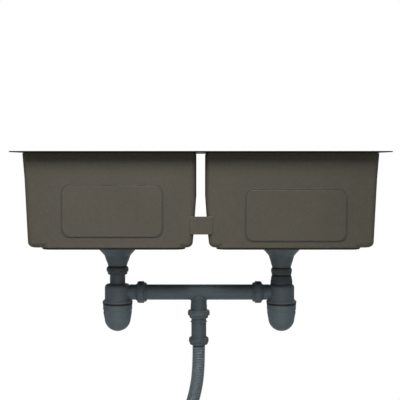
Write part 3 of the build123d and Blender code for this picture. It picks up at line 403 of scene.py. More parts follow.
def lean(z):
    """How far three of a bowl's walls have leaned in at height z."""
    if -z <= UPPER_WALL:
        return UPPER_LEAN * -z / UPPER_WALL
    return UPPER_LEAN + LOWER_LEAN * (-z - UPPER_WALL) / (DEPTH - UPPER_WALL)


def wall_level(side, z, inset=0.0):
    """The bowl's outside at height z as (low, high, half, z), and set in by a distance."""
    outer = BOWL_END - lean(z) - inset
    inner = GAP_HALF + GAP_LEAN * max(0.0, -z - STRAIGHT) / (DEPTH - STRAIGHT) + inset
    low, high = sorted((SIGN[side] * inner, SIGN[side] * outer))
    return low, high, BOWL_HALF - lean(z) - inset, z


print("left bowl at the top:", [round(value, 1) for value in wall_level("left", 0)])

# %% [markdown]
# At the bottom the wall turns into the floor over a quarter of a circle. Steel and coat are both drawn
# from such levels, each with its own distance from the bowl's outside and its own radius.

# %% A bowl's levels
BEND_STEPS = 6


def bowl_levels(side, top, floor, inset, radius):
    """The levels of a bowl from its top down to the flat of its floor."""
    levels = [wall_level(side, z, inset) for z in (top, -30, -UPPER_WALL, -STRAIGHT, -155)]
    for step in range(BEND_STEPS + 1):
        angle = pi / 2 * step / BEND_STEPS
        z = floor + radius * (1 - sin(angle))
        low, high, half, _ = wall_level(side, max(z, -DEPTH), inset + radius * (1 - cos(angle)))
        levels.append((low, high, half, z))
    return levels


# %% [markdown]
# ### The steel shell
# Deck and bowls are one skin of sheet steel. Each mouth is rolled over a radius of 4 mm, so the sheet
# turns softly down into the bowl. The floor falls to the drain and drops into a seat for the strainer's
# rim. The outline of a bowl's floor has as many points as the drain's circle, so a bridge joins them.

# %% One bowl's inside
DECK_TOP, ROLL, SHEET = 2.4, 4.0, 1.0
ROLL_STEPS = 4
STEEL_BEND = 16.0
DRAIN_POINTS = 64
DRAIN_SEAT = [(58, -215.3), (57.2, -216.5), (57.2, -219.3), (45, -219.3)]


def bowl_inside(side):
    levels = bowl_levels(side, DECK_TOP - ROLL, -DEPTH + SHEET, SHEET, STEEL_BEND)
    piece = start_loop(side + "_inside", *levels[0], corner=11)
    grow_loops(levels)
    radius, top = DRAIN_SEAT[0]
    add_ring(radius, top, DRAINS[side], points=DRAIN_POINTS)
    pick_levels(levels[-1][3], top)
    bpy.ops.mesh.bridge_edge_loops()
    pick_levels(top)
    grow_ring(DRAIN_SEAT, DRAINS[side])
    low, high, half, z = levels[0]
    pick_levels(z)
    rolled = []
    for step in range(ROLL_STEPS + 1):
        angle = pi / 2 * step / ROLL_STEPS
        out = ROLL * (1 - cos(angle))
        rolled.append((low - out, high + out, half + out, z + ROLL * sin(angle)))
    grow_loops(rolled)
    leave_edit()
    return piece


# %% [markdown]
# The deck is one flat face between its own outline and the two rolled mouths. A skin has no inside, so
# its faces can all come out the wrong way round. The face that lies furthest out tells: if it looks
# back, all faces are flipped.

# %% Deck and bowls
RIM_END, RIM_HALF, RIM_CORNER = 430, 230, 14


def join(pieces, name):
    select_only(*pieces)
    bpy.ops.object.join()
    pieces[0].name = name
    return pieces[0]


def turn_skin(piece, way):
    """Merge a skin's doubles and make its face that lies furthest along a way look that way."""
    edit(piece)
    bpy.ops.mesh.select_all(action="SELECT")
    bpy.ops.mesh.remove_doubles(threshold=0.001 * MM)
    bpy.ops.mesh.normals_make_consistent(inside=False)
    leave_edit()
    furthest = max(piece.data.polygons, key=lambda face: face.center.dot(way))
    if furthest.normal.dot(way) < 0:
        edit(piece)
        bpy.ops.mesh.select_all(action="SELECT")
        bpy.ops.mesh.flip_normals()
        leave_edit()


outline = start_loop("sink_shell", -RIM_END, RIM_END, RIM_HALF, DECK_TOP, corner=RIM_CORNER)
leave_edit()
shell = join([outline, bowl_inside("left"), bowl_inside("right")], "sink_shell")
edit(shell)
pick_levels(DECK_TOP)
bpy.ops.mesh.fill()
leave_edit()
turn_skin(shell, Vector((0, 0, 1)))
print("shell:", len(shell.data.polygons), "faces")

# %% [markdown]
# A Solidify modifier gives the skin its thickness: 2.4 mm in the deck, 1 mm in the bowls, and less and
# less on the way down over the rolled edge. Each point's share of the full thickness is its weight in
# a vertex group.

# %% Sheet thickness
BOWL_SHARE = 0.417

sheet = shell.vertex_groups.new(name="sheet")
for vert in shell.data.vertices:
    near_deck = max(0.0, 1 - (DECK_TOP * MM - vert.co.z) / (ROLL * MM))
    sheet.add([vert.index], BOWL_SHARE + (1 - BOWL_SHARE) * near_deck**2, "REPLACE")
apply_modifier(shell, "SOLIDIFY", thickness=DECK_TOP * MM, offset=-1, vertex_group="sheet",
               use_even_offset=True, use_quality_normals=True)
soften(shell, width=0.6, segments=3, corner=40)
shell.vertex_groups.clear()
seat(shell, "sink", "sink_steel", "rim_deck", "left_bowl", "right_bowl")
deck_low = min(vert.co.z for vert in shell.data.vertices if abs(vert.co.y) > 0.21)
print("underside of the deck at", round(deck_low / MM, 2))

# %% [markdown]
# ## The sound coat
# The bowls' outsides are sprayed with a thick coat that keeps them from drumming. It is a skin of its
# own, 1 mm out from the steel at the walls and 3 mm under its floor, where the spray gathers, with a
# tighter bend between them. It is open at its top, where the bare steel begins. Its floor is only a
# narrow lip, because a pad covers the rest. Its thickness goes inwards.

# %% The coat's skin
COAT_TOP, COAT_LOW = -3.0, -218.0
COAT_OUT, COAT_BEND, COAT_LIP = 1.0, 12.5, 4.0
SKIN_WALL = 0.7


def coat_skin(side):
    levels = bowl_levels(side, COAT_TOP, COAT_LOW, -COAT_OUT, COAT_BEND)
    piece = start_loop(side + "_coat", *levels[0], corner=13)
    grow_loops(levels)
    low, high, half, z = levels[-1]
    grow_loops([levels[-1], (low + COAT_LIP, high - COAT_LIP, half - COAT_LIP, z)])
    leave_edit()
    return piece


def close_skin(piece):
    """Turn a skin's faces outwards and give it a wall that goes inwards."""
    turn_skin(piece, Vector((0, -1, 0)))
    apply_modifier(piece, "SOLIDIFY", thickness=SKIN_WALL * MM, offset=-1, use_even_offset=True)


# %% [markdown]
# ### The pads under the coat
# Heavy damping pads are glued to the front and back walls before the bowl is sprayed. The coat rounds
# their edges and leaves a small bead and a groove round each one, where it has run off and sagged.
# The groove carries painted shade, deepest along the pad's lower edge, where the shadow falls. A pad is
# drawn lying flat, then stood up against its wall and tipped to the wall's lean.

# %% Wall pads
PAD_PLACE = {"left": (-201.6, -134.0), "right": (216.6, -143.5)}
PAD_HALF_LENGTH, PAD_HALF_HEIGHT, PAD_CORNER = 113.6, 58.6, 17.5
PAD_EDGE = [(3.4, -0.8), (3.2, 0.05), (2.5, 0.55), (1.7, 0.6), (1.2, 0.1), (0.2, 0.05), (0.0, 0.4),
            (-0.3, 1.6), (-0.8, 2.2), (-1.6, 2.4)]
TILT = atan(LOWER_LEAN / (DEPTH - UPPER_WALL))


def coat_face(z):
    """How far the coat's front and back walls are from the middle, at height z."""
    return BOWL_HALF + COAT_OUT - lean(z)


def wall_pad(side, face):
    """One pad's bump in the coat: face -1 is the photographed wall, 1 the back wall."""
    x, z = PAD_PLACE[side]
    loops = [(-PAD_HALF_LENGTH - out, PAD_HALF_LENGTH + out, PAD_HALF_HEIGHT + out, rise)
             for out, rise in PAD_EDGE]
    piece = start_loop(side + "_pad", *loops[0], corner=PAD_CORNER + PAD_EDGE[0][0], steps=11)
    grow_loops(loops)
    bpy.ops.mesh.edge_face_add()
    leave_edit()
    # Painted shade in the groove round the pad, strongest along its lower edge.
    mark(piece, "painted_crevice_shade", lambda at: 0.68 - 0.0055 * at.y if -0.1 < at.z < 0.5 else 0.0)
    piece.rotation_euler = (pi / 2 + TILT, 0, pi if face > 0 else 0)
    piece.location = (x * MM, face * coat_face(z) * MM, z * MM)
    settle(piece)
    return piece


# %% [markdown]
# The pad under the floor shows as a step along the bowl's underside. Its edge follows the wall down
# over the bend and ends in a thin step, painted dark as the shade under the bend. Its flat face is open
# round the drain. A bridge from its edge to that hole would twist, as their points don't match, so the
# face is filled.

# %% Floor pads
BASE_PAD = {"left": (-363.5, -37.5), "right": (37.6, 364.5)}
BASE_HALF, BASE_CORNER = 184, 24
BASE_LOW = -222.4
BASE_EDGE = [(5.6, -204), (5.9, -206.5), (5.85, -209), (5.75, -212.5), (5.6, -216), (5.2, -217.4),
             (4.4, -218.3), (3.2, -218.7), (2.0, -219.2), (1.6, BASE_LOW + 1.2), (1.2, BASE_LOW + 0.4),
             (0, BASE_LOW)]
BASE_HOLE = [(58, BASE_LOW), (57.2, BASE_LOW + 0.3), (57, BASE_LOW + 4.3)]


def base_pad(side):
    low, high = BASE_PAD[side]
    loops = [(low - out, high + out, BASE_HALF + out, z) for out, z in BASE_EDGE]
    piece = start_loop(side + "_base", *loops[0], corner=BASE_CORNER)
    grow_loops(loops)
    (radius, top), x = BASE_HOLE[0], DRAINS[side]
    add_ring(radius, top, x, points=DRAIN_POINTS)
    pick_levels(BASE_LOW)
    bpy.ops.mesh.fill()
    pick_verts(lambda at: abs(at.z - top) < 0.01 and (at.xy - Vector((x, 0))).length < radius + 0.1)
    grow_ring(BASE_HOLE, x)
    leave_edit()
    # Painted shade on the thin step under the bend.
    mark(piece, "painted_crevice_shade", lambda at: 1.0 if BASE_LOW + 0.1 < at.z < COAT_LOW else 0.0)
    return piece


# %% [markdown]
# Each bowl's coat is joined from its own skin, two wall pads and a floor pad. Each of the four gets its
# wall first, while it is still a plain skin.

# %% Both coats
for side in DRAINS:
    skins = [coat_skin(side), wall_pad(side, -1), wall_pad(side, 1), base_pad(side)]
    for skin in skins:
        close_skin(skin)
    coat = join(skins, side + "_sound_coat")
    soften(coat, width=0)
    seat(coat, "sink", "sound_coat", side + "_undercoat")

# %% [markdown]
# ### The tie strap
# A short plate holds the two bowls together low down on the photographed side. It was sprayed over
# with them, and its edges are rolled a little. It is drawn lying flat and stood up like a pad.

# %% The strap
STRAP_LEFT, STRAP_RIGHT, STRAP_CORNER = -24.5, 27, 2.5
STRAP_LOW, STRAP_HIGH = -186.5, -146.5
STRAP_EDGE = [(0.6, -0.2), (0.5, 0.5), (0.0, 1.0), (0.0, 1.4), (-0.25, 1.85), (-0.9, 2.0)]

strap_half, strap_z = (STRAP_HIGH - STRAP_LOW) / 2, (STRAP_HIGH + STRAP_LOW) / 2
loops = [(STRAP_LEFT - out, STRAP_RIGHT + out, strap_half + out, rise) for out, rise in STRAP_EDGE]
strap = start_loop("tie_strap", *loops[0], corner=STRAP_CORNER, steps=4)
grow_loops(loops)
bpy.ops.mesh.edge_face_add()
pick_levels(STRAP_EDGE[0][1])
bpy.ops.mesh.edge_face_add()
bpy.ops.mesh.select_all(action="SELECT")
bpy.ops.mesh.normals_make_consistent(inside=False)
leave_edit()
strap.rotation_euler = (pi / 2 + TILT, 0, 0)
strap.location = (0, -coat_face(strap_z) * MM, strap_z * MM)
soften(strap, width=0)
seat(strap, "sink", "sound_coat", "bowl_tie_strap")

# %% [markdown]
# ## The waste kit
# All the pipework is moulded in one bluish grey plastic. The strainer's body hangs under each bowl
# like a funnel: a flange against the gasket, a wide flare down to a kink, and a cone to the thread.

# %% Funnels
NECKS = {"left": -278.8, "right": -282.2}


def funnel(side):
    neck, x = NECKS[side], DRAINS[side]
    wall = [
        (46, -223.3), (55.4, -223.3), (56, -223.9), (56, -227.9), (54.8, -229.3), (50.9, -229.3),
        (50.1, -230.4), (47.4, -235.2), (43.4, -240.2), (40.8, -242.8), (38.6, -245.4), (34.3, -250.3),
        (32.2, -252.8), (31.2, -254.6), (30.6, -256.6), (29.6, -260.2), (28.2, -264.4),
        (25.6, neck + 8.6), (24.0, neck + 3.6), (23.2, neck + 0.6), (22.9, neck), (22.4, neck),
        (22.4, -291.8), (19.4, -291.8), (19.4, neck + 2.6), (27.4, -251), (46, -228),
    ]
    piece = turned(side + "_funnel", wall, x, sides=96)
    soften(piece, width=0.35)
    seat(piece, "sink", "pipe_plastic", side + "_strainer_body")


for side in DRAINS:
    funnel(side)

# %% [markdown]
# ### Union nuts
# A union nut is turned as a sleeve with a smaller collar at its shoulder. Its finger grips are picked
# out of the sleeve's facets and raised by an inset with depth, so each is a pillow with sloping
# sides, as in a mould. Ten grips have eight facets each, and eight grips have nine, so that all nuts
# are about equally round. A nut is made standing on its open end, then put where it goes.

# %% A union nut
NUT_BORE, PIPE_HOLE, SHOULDER = 22.7, 19.3, 3.2


def union_nut(name, outer, collar, length, plain, grips, bore=NUT_BORE, hole=PIPE_HOLE):
    """A nut from its open end at z = 0 to its shoulder at z = length, in mm."""
    barrel, step = outer - 0.5, length - plain
    section = [
        (bore, 0), (outer - 1.3, 0), (outer - 0.7, 0.6), (outer - 0.7, 1.7), (barrel - 0.7, 2.0),
        (barrel, 2.6), (barrel, step - 1.6), (collar + 0.4, step - 0.2), (collar, step + 0.4),
        (collar, length - 1.4), (collar - 1.2, length), (hole, length), (hole, length - SHOULDER),
        (bore, length - SHOULDER),
    ]
    facets = 8 if grips == 10 else 9
    turn = 2 * pi / (grips * facets)
    piece = turned(name, section, sides=grips * facets)

    def is_grip(at):
        facet = int((atan2(at.y, at.x) % (2 * pi)) / turn)
        on_barrel = 2.6 < at.z < step - 1.6 and at.xy.length > barrel - 0.5
        return on_barrel and (facet + 1) % facets < 2

    edit(piece)
    pick_faces(is_grip)
    bpy.ops.mesh.inset(thickness=0.5 * MM, depth=0.75 * MM)
    leave_edit()
    return piece


def stand(piece, x, z):
    """Put a nut on an upright pipe, its open end at z and upwards."""
    piece.rotation_euler = (pi, 0, 0)
    piece.location = (x * MM, 0, z * MM)


def lay(piece, x, z, way):
    """Put a piece made along +Z at x, lying along +X or -X."""
    piece.rotation_euler = (0, way * pi / 2, 0)
    piece.location = (x * MM, 0, z * MM)


# %% [markdown]
# The left tail nut is the fatter of the two, and its collar steps in. The right one is almost plain.
# Both are painted darker than the pipes, as painted shade from the bowls above them. The other nuts
# that carry this mark are painted darker too.

# %% Tail nuts
TAIL_NUT_LOW, TAIL_NUT_ROOM, PLAIN_SHARE = -299.8, 2.4, 0.31
TAIL_NUTS = {"left": (26.9, 24.3), "right": (25.7, 24.9)}

for side, (outer, collar) in TAIL_NUTS.items():
    top = NECKS[side] - TAIL_NUT_ROOM
    length = top - TAIL_NUT_LOW
    nut = union_nut(side + "_tail_nut_grip", outer, collar, length, PLAIN_SHARE * length, grips=10)
    stand(nut, DRAINS[side], top)
    soften(nut, width=0.3)
    # Painted shade: the tail nut hangs in the bowl's shadow.
    mark(nut, "painted_shade_and_tone", lambda at: 0.8)
    seat(nut, side + "_tail_nut", "nut_plastic", side + "_tail_nut")

# %% [markdown]
# A tail pipe is a plain tube that hangs in the nut by a collar and dips into the trap. Only a short
# length of it shows, between the nut and the trap.

# %% Tail pipes
for side in DRAINS:
    wall = [(16.6, -294.2), (21.8, -294.2), (21.8, -296.6), (19, -296.6), (19, -403), (18.6, -404),
            (16.6, -404)]
    pipe = turned(side + "_dip_pipe", wall, DRAINS[side])
    soften(pipe, width=0.3)
    seat(pipe, "sink", "pipe_plastic", side + "_tail_pipe")

# %% [markdown]
# ### Traps
# The trap's body is a small can with a rounded shoulder, a skirt that flares out over the seal, and a
# threaded neck. The thread is turned as three rings, because its pitch doesn't show.

# %% The trap's can
CROSS_Z = -344.5
TRAP_RADIUS = 31.7


def trap_can(side):
    wall = [
        (19.05, -323.4), (22.6, -323.5), (26.9, -324.5), (29.0, -326), (30.3, -327.6), (31.2, -329.4),
        (31.6, -331.2), (TRAP_RADIUS, -333), (TRAP_RADIUS, -359.5), (32.0, -361.2), (32.8, -362.6),
        (36.6, -366.4), (37.4, -367.4), (37.4, -369.8), (31.4, -369.8),
    ]
    for turn in range(3):
        low = -373.5 - 3.6 * turn
        wall += [(30.7, low), (31.35, low - 0.9), (31.35, low - 1.5), (30.7, low - 2.4)]
    wall += [
        (30.7, -384.4), (30.2, -385), (28.7, -385), (29.1, -361), (29.1, -331.6), (27, -328.4),
        (23.5, -327.3), (23.5, -335.5), (21.6, -335.5), (21.6, -327.5), (19.05, -327.5),
    ]
    return turned(side + "_trap", wall, DRAINS[side], sides=96)


# %% [markdown]
# The can's outlet is turned separately. Its first ring is moved onto the can, point by point, and
# sinks in a little. It swells there, and the second ring less, as the fillet of a moulded branch does.
# The right trap has an upright inlet as well, for one more nut.

# %% Traps
SUNK, RING_STEP = 0.2, 1.6


def branch(name, section, onto, swell):
    """A pipe along +Z whose first outside ring is moved onto a round wall of radius onto."""
    piece = turned(name, section)
    edit(piece)
    mesh = bmesh.from_edit_mesh(piece.data)
    rings = {0: swell, 1: swell * 0.35}
    for vert in mesh.verts:
        at = vert.co / MM
        for number, out in rings.items():
            radius, height = section[number]
            if abs(at.xy.length - radius) < 0.01 and abs(at.z - height) < 0.01:
                reach = sqrt(onto**2 - at.y**2) - SUNK + number * RING_STEP
                vert.co = Vector((at.x, at.y, reach)) * MM + Vector((at.x, at.y, 0)) * MM * out / radius
    bmesh.update_edit_mesh(piece.data)
    leave_edit()
    return piece


for side, way in (("left", 1), ("right", -1)):
    spigot = [(19, 30.2), (19, 31.2), (19, 44.6), (19.4, 45.6), (22.1, 49.0), (22.4, 50), (22.4, 66.4),
              (19.05, 66.4), (19.05, 48.6), (16.6, 48.6), (16.6, 30.2)]
    outlet = branch(side + "_outlet", spigot, TRAP_RADIUS, 0.6)
    lay(outlet, DRAINS[side], CROSS_Z, way)
    settle(outlet)
    parts = [trap_can(side), outlet]
    if side == "right":
        inlet = [(19.05, -324.5), (22.4, -324.5), (22.4, -309.6), (19.05, -309.6)]
        parts.append(turned("right_inlet", inlet, DRAINS[side]))
    trap = join(parts, side + "_trap")
    soften(trap, width=0.3)
    seat(trap, "sink", "pipe_plastic", side + "_trap_body")

# %% [markdown]
# The right stack has one more nut, a smooth cone that clamps the tail pipe where it enters the trap.

# %% Inlet collar
collar_wall = [
    (22.7, -323.2), (26.4, -323.2), (27.1, -322.6), (27.1, -317.8), (26.8, -316.6), (25.6, -308.4),
    (25.2, -306.4), (25.2, -305.2), (24.3, -304), (19.3, -304), (19.3, -307.2), (22.7, -307.2),
]
collar = turned("inlet_collar_nut", collar_wall, DRAINS["right"], sides=80)
soften(collar, width=0.4)
# Painted shade: the collar hangs in the bowl's shadow.
mark(collar, "painted_shade_and_tone", lambda at: 1.0)
seat(collar, "right_inlet_collar", "nut_plastic", "right_inlet_collar")

# %% [markdown]
# ### Outlet nuts
# The same nuts lie on the cross pipe, with eight grips each. Only a bump of two grips shows in
# outline, with a fine groove beside the open end's rim.

# %% Outlet nuts
OUTLET_NUTS = {"left": (-156.7, 1), "right": (150.5, -1)}

for side, (x, way) in OUTLET_NUTS.items():
    nut = union_nut(side + "_outlet_nut_grip", outer=26.9, collar=23.7, length=22.4, plain=4.9, grips=8)
    lay(nut, x, CROSS_Z, way)
    soften(nut, width=0.3)
    seat(nut, side + "_outlet_nut", "nut_plastic", side + "_outlet_nut")

# %% [markdown]
# ### Trap cups
# A cup screws up onto the trap's neck. Below its wide ring are twelve finger lugs, raised from the
# wall like the nuts' grips, and the bottom is a half ball, so that nothing settles in a corner.

# %% Cups
CUP_SIDES, LUG_PITCH, LUG_FACETS = 120, 10, 4


def trap_cup(side):
    wall = [
        (31.7, -374.7), (35.3, -374.7), (36.1, -375.5), (36.1, -386.4), (35.6, -387.9), (34.7, -389),
        (34.3, -390), (34.2, -396), (33.9, -402), (33.4, -406), *arc(0, -409, 32.4, -2, -89.5, 14),
        *arc(0, -408, 28.7, -89.5, 0, 12), (28.7, -386), (31.7, -384.6),
    ]
    piece = turned(side + "_trap_cup_grip", wall, sides=CUP_SIDES)

    def is_lug(at):
        facet = int((atan2(at.y, at.x) % (2 * pi)) / (2 * pi / CUP_SIDES))
        return -402 < at.z < -390 and at.xy.length > 33 and (facet - 3) % LUG_PITCH < LUG_FACETS

    edit(piece)
    pick_faces(is_lug)
    bpy.ops.mesh.inset(thickness=0.9 * MM, depth=1.2 * MM)
    pick_verts(lambda at: -402.5 < at.z < -400 and at.xy.length > 34.3)
    bpy.ops.transform.resize(value=(0.972, 0.972, 1), center_override=(0, 0, 0))
    leave_edit()
    piece.location.x = DRAINS[side] * MM
    soften(piece, width=0.3)
    seat(piece, side + "_trap_cup", "pipe_plastic", side + "_trap_cup")


# %% [markdown]
# A flat black ring seals each cup. It is squeezed out between the trap's skirt and the cup's wide ring,
# where it shows as a black line.

# %% Cups and their seals
for side in DRAINS:
    trap_cup(side)
    wall = [(31.9, -369.85), (36.1, -369.85), (36.7, -370.6), (36.7, -374), (36.1, -374.65), (31.9, -374.65)]
    seal = turned(side + "_squeezed_seal", wall, DRAINS[side])
    soften(seal, width=0.2)
    seat(seal, side + "_cup_seal", "black_rubber", side + "_cup_seal")

# %% [markdown]
# ### The cross pipe
# A straight pipe joins the two traps. Its spigot widens downwards to the thread of the nut below.
# The spigot's first ring is moved onto the pipe's side, with a swelling for the fillet. It looks
# darker than the pipe, in the pipe's own shadow, so it carries a mark.

# %% The tee
TEE_X = -4.9
PIPE_RADIUS, PIPE_BORE = 19, 16.6
CROSS_START, CROSS_LENGTH = -156.4, 306.6

tube = [(PIPE_RADIUS, 0), (PIPE_RADIUS, CROSS_LENGTH), (PIPE_BORE, CROSS_LENGTH), (PIPE_BORE, 0)]
cross = turned("cross_pipe", tube)
lay(cross, CROSS_START, CROSS_Z, 1)
settle(cross)
down = [(19.2, 16.2), (19.2, 17.2), (19.2, 19), (20.3, 34.1), (20.4, 43.4), (21.2, 44.6), (22.4, 45.1),
        (22.4, 55.8), (16.6, 55.8), (16.6, 16.2)]
spigot = branch("cross_spigot", down, 19.7, 2.2)
stand(spigot, TEE_X, CROSS_Z)
settle(spigot)
tee = join([cross, spigot], "cross_pipe")
soften(tee, width=0.3)
mark(tee, "painted_shade_and_tone", lambda at: 1.0 if at.z < CROSS_Z - 16 else 0.0)
seat(tee, "sink", "pipe_plastic", "tee_pipe")

# %% [markdown]
# ### Down to the hose
# The tee's nut holds the adapter below it. The hose's own nut is smaller and clamps the collar that the
# hose is fixed in.

# %% The tee's nut and the hose's nut
tee_nut = union_nut("tee_nut_grip", outer=26.9, collar=23.2, length=18.9, plain=5.4, grips=8, hole=18.8)
stand(tee_nut, TEE_X, -389.4)
soften(tee_nut, width=0.3)
seat(tee_nut, "tee_outlet_nut", "nut_plastic", "tee_outlet_nut")

hose_nut = union_nut("hose_nut_grip", outer=24.3, collar=22.4, length=17.6, plain=4.6, grips=8,
                     bore=19.9, hole=16.1)
stand(hose_nut, TEE_X, -457)
soften(hose_nut, width=0.3)
mark(hose_nut, "painted_shade_and_tone", lambda at: 1.0)
seat(hose_nut, "hose_nut", "nut_plastic", "hose_nut")

# %% [markdown]
# The adapter is a short pipe with a sharp ring round it, a little below the tee's nut. The hose's
# collar lies inside the hose's nut. Its neck comes out below and holds the hose.

# %% Adapter and hose collar
tube = [
    (15.5, -402.7), (21.8, -402.7), (21.8, -405.1), (18.5, -405.1), (18.5, -415.6), (18.8, -416.3),
    (20.6, -416.9), (20.7, -417.7), (20.6, -418.5), (18.8, -419.1), (18.5, -419.8), (18.5, -453),
    (18.9, -456), (19.6, -457.2), (19.6, -468.4), (15.5, -468.4),
]
adapter = turned("hose_adapter_pipe", tube, TEE_X)
soften(adapter, width=0.25)
mark(adapter, "painted_shade_and_tone", lambda at: 1.0)
seat(adapter, "sink", "pipe_plastic", "hose_adapter")

neck = [(11.4, -468.4), (19.2, -468.4), (19.2, -471.4), (15.8, -471.4), (15.8, -477.3), (15.0, -478.3),
        (11.4, -478.3)]
hose_collar = turned("hose_collar_ring", neck, TEE_X)
soften(hose_collar, width=0.25)
# Painted shade: the collar's neck lies in the shadow under the hose's nut.
mark(hose_collar, "painted_shade_and_tone", lambda at: 1.0)
seat(hose_collar, "sink", "pipe_plastic", "hose_collar")

# %% [markdown]
# ### The cuff
# The hose ends in a soft rubber cuff. Its sleeve has three grip rings, and its wide end goes into the
# waste pipe of the house. It isn't in the photograph, so it is the plain kind that most hoses have.

# %% The cuff
CUFF_X, CUFF_Y = -115.2, 25.0

wall = [(11.4, -1061), (16.4, -1061), (17.1, -1061.7)]
for turn in range(3):
    high = -1063.2 - 4.2 * turn
    wall += [(17.1, high), (17.6, high - 0.7), (17.6, high - 1.7), (17.1, high - 2.4)]
wall += [(17.1, -1076.2), (20, -1079.4), (20, -1112.2), (18.8, -1113.4), (17, -1113.4), (17, -1082.4),
         (11.4, -1077)]
cuff = turned("cuff_with_rings", wall, CUFF_X, CUFF_Y)
soften(cuff, width=0.3)
seat(cuff, "sink", "cuff_rubber", "hose_end_cuff")

# %% [markdown]
# ## Pieces whose CAD shape is right
# Seals, strainer rims, screws, baskets, stoppers and knobs are already drawn in full. A smooth copy of
# each mesh takes the CAD node's place: the loose triangles are merged and only the real edges stay
# sharp.

# %% Smooth copies
def smooth_copy(node, body, slot):
    piece = bpy.data.objects.new(node + "_smooth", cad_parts[node].data.copy())
    piece.matrix_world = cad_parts[node].matrix_world
    bpy.context.collection.objects.link(piece)
    edit(piece)
    bpy.ops.mesh.select_all(action="SELECT")
    bpy.ops.mesh.remove_doubles(threshold=0.001 * MM)
    leave_edit()
    soften(piece, width=0)
    seat(piece, body, slot, node)


# The neck seals are black rings that stand in for the shade in the gap between each funnel and its tail nut.
for side in DRAINS:
    for node in ("strainer_seal", "body_gasket", "neck_seal", "tail_seal", "inlet_seal", "outlet_seal"):
        smooth_copy(side + "_" + node, "sink", "black_rubber")
    smooth_copy(side + "_stopper", side + "_stopper", "black_rubber")
    smooth_copy(side + "_strainer_rim", "sink", "polished_steel")
    smooth_copy(side + "_basket", side + "_basket", "polished_steel")
    smooth_copy(side + "_stopper_knob", side + "_stopper", "polished_steel")
smooth_copy("strainer_screws", "sink", "polished_steel")
smooth_copy("right_collar_seal", "sink", "black_rubber")
smooth_copy("tee_outlet_seal", "sink", "black_rubber")

# %% [markdown]
# ## Finishes
# Each finish is a tree of shader nodes on the piece's own Object coordinates, so it needs no image and
# runs on over seams. Effects that several finishes use are node groups. They put out only what changes
# over the surface; fixed numbers sit on the shader itself.

# %% Node helpers
def node(tree, kind, values=None, **settings):
    """Add a node, choose its options, and link or fill its inputs."""
    made_node = tree.nodes.new(kind)
    for name, value in settings.items():
        setattr(made_node, name, value)
    for key, value in (values or {}).items():
        if isinstance(value, bpy.types.NodeSocket):
            tree.links.new(value, made_node.inputs[key])
        else:
            made_node.inputs[key].default_value = value
    return made_node


def new_group(name, inputs, outputs):
    """An empty node group with its sockets, given as {name: (type, default)} and {name: type}."""
    tree = bpy.data.node_groups.new(name, "ShaderNodeTree")
    for socket_name, (kind, default) in inputs.items():
        socket = tree.interface.new_socket(name=socket_name, in_out="INPUT", socket_type="NodeSocket" + kind)
        if default is not None:
            socket.default_value = default
    for socket_name, kind in outputs.items():
        tree.interface.new_socket(name=socket_name, in_out="OUTPUT", socket_type="NodeSocket" + kind)
    print("node group:", name, "with", ", ".join(inputs), "in and", ", ".join(outputs), "out")
    return tree, tree.nodes.new("NodeGroupInput").outputs, tree.nodes.new("NodeGroupOutput").inputs


def noise(tree, vector, scale, detail=2.0, roughness=0.5):
    values = {"Vector": vector, "Scale": scale, "Detail": detail, "Roughness": roughness}
    return node(tree, "ShaderNodeTexNoise", values).outputs["Fac"]


def between(tree, value, low, high, to_low, to_high):
    """Spread the part of a value between low and high over a new range."""
    values = {"Value": value, "From Min": low, "From Max": high, "To Min": to_low, "To Max": to_high}
    return node(tree, "ShaderNodeMapRange", values, interpolation_type="SMOOTHSTEP").outputs["Result"]


def blend_colours(tree, share, first, second):
    return node(tree, "ShaderNodeMix", {0: share, 6: first, 7: second}, data_type="RGBA").outputs[2]


def maths(tree, kind, first, second):
    return node(tree, "ShaderNodeMath", {0: first, 1: second}, operation=kind).outputs[0]


# %% [markdown]
# ### Mottle
# Sprayed, moulded and rolled surfaces are never one even colour. Clouds of two sizes lighten and
# darken the colour a little.

# %% Mottle
mottle, given, out = new_group(
    "mottle",
    {"Vector": ("Vector", None), "Colour": ("Color", (0.5, 0.5, 0.5, 1)), "Size": ("Float", 20.0),
     "Spread": ("Float", 0.1)},
    {"Colour": "Color"},
)
large = noise(mottle, given["Vector"], given["Size"], detail=3.0)
small = noise(mottle, given["Vector"], maths(mottle, "MULTIPLY", given["Size"], 7.3))
cloud = maths(mottle, "ADD", maths(mottle, "MULTIPLY", large, 1.3), maths(mottle, "MULTIPLY", small, 0.7))
swing = maths(mottle, "MULTIPLY", maths(mottle, "SUBTRACT", cloud, 1.0), given["Spread"])
bright = maths(mottle, "ADD", maths(mottle, "MULTIPLY", swing, 2.0), 1.0)
shaded = node(mottle, "ShaderNodeHueSaturation", {"Value": bright, "Color": given["Colour"]})
mottle.links.new(shaded.outputs["Color"], out["Colour"])

# %% [markdown]
# ### Grain
# A fine unevenness of the surface: orange peel on spray, spark texture on mouldings.

# %% Grain
grain, given, out = new_group(
    "grain",
    {"Vector": ("Vector", None), "Scale": ("Float", 400.0), "Height": ("Float", 0.0002)},
    {"Normal": "Vector"},
)
field = noise(grain, given["Vector"], given["Scale"], detail=3.0, roughness=0.55)
bump = node(grain, "ShaderNodeBump", {"Strength": 1.0, "Distance": given["Height"], "Height": field})
grain.links.new(bump.outputs["Normal"], out["Normal"])

# %% [markdown]
# ### Dust
# Dust settles on what faces up, and it lies in patches, because hands and water have taken some of it
# away again.

# %% Dust
dust, given, out = new_group(
    "dust", {"Vector": ("Vector", None), "Scale": ("Float", 60.0)}, {"Mask": "Float"})
facing = node(dust, "ShaderNodeNewGeometry").outputs["Normal"]
up = node(dust, "ShaderNodeSeparateXYZ", {"Vector": facing}).outputs["Z"]
patches = between(dust, noise(dust, given["Vector"], given["Scale"], detail=4.0), 0.35, 0.7, 0.2, 1.0)
mask = maths(dust, "MULTIPLY", between(dust, up, 0.2, 1.0, 0.0, 1.0), patches)
dust.links.new(mask, out["Mask"])

# %% [markdown]
# ### Rubs
# Rubs are short, thin scratches from handling. Two stretched noises, turned apart, let them cross.

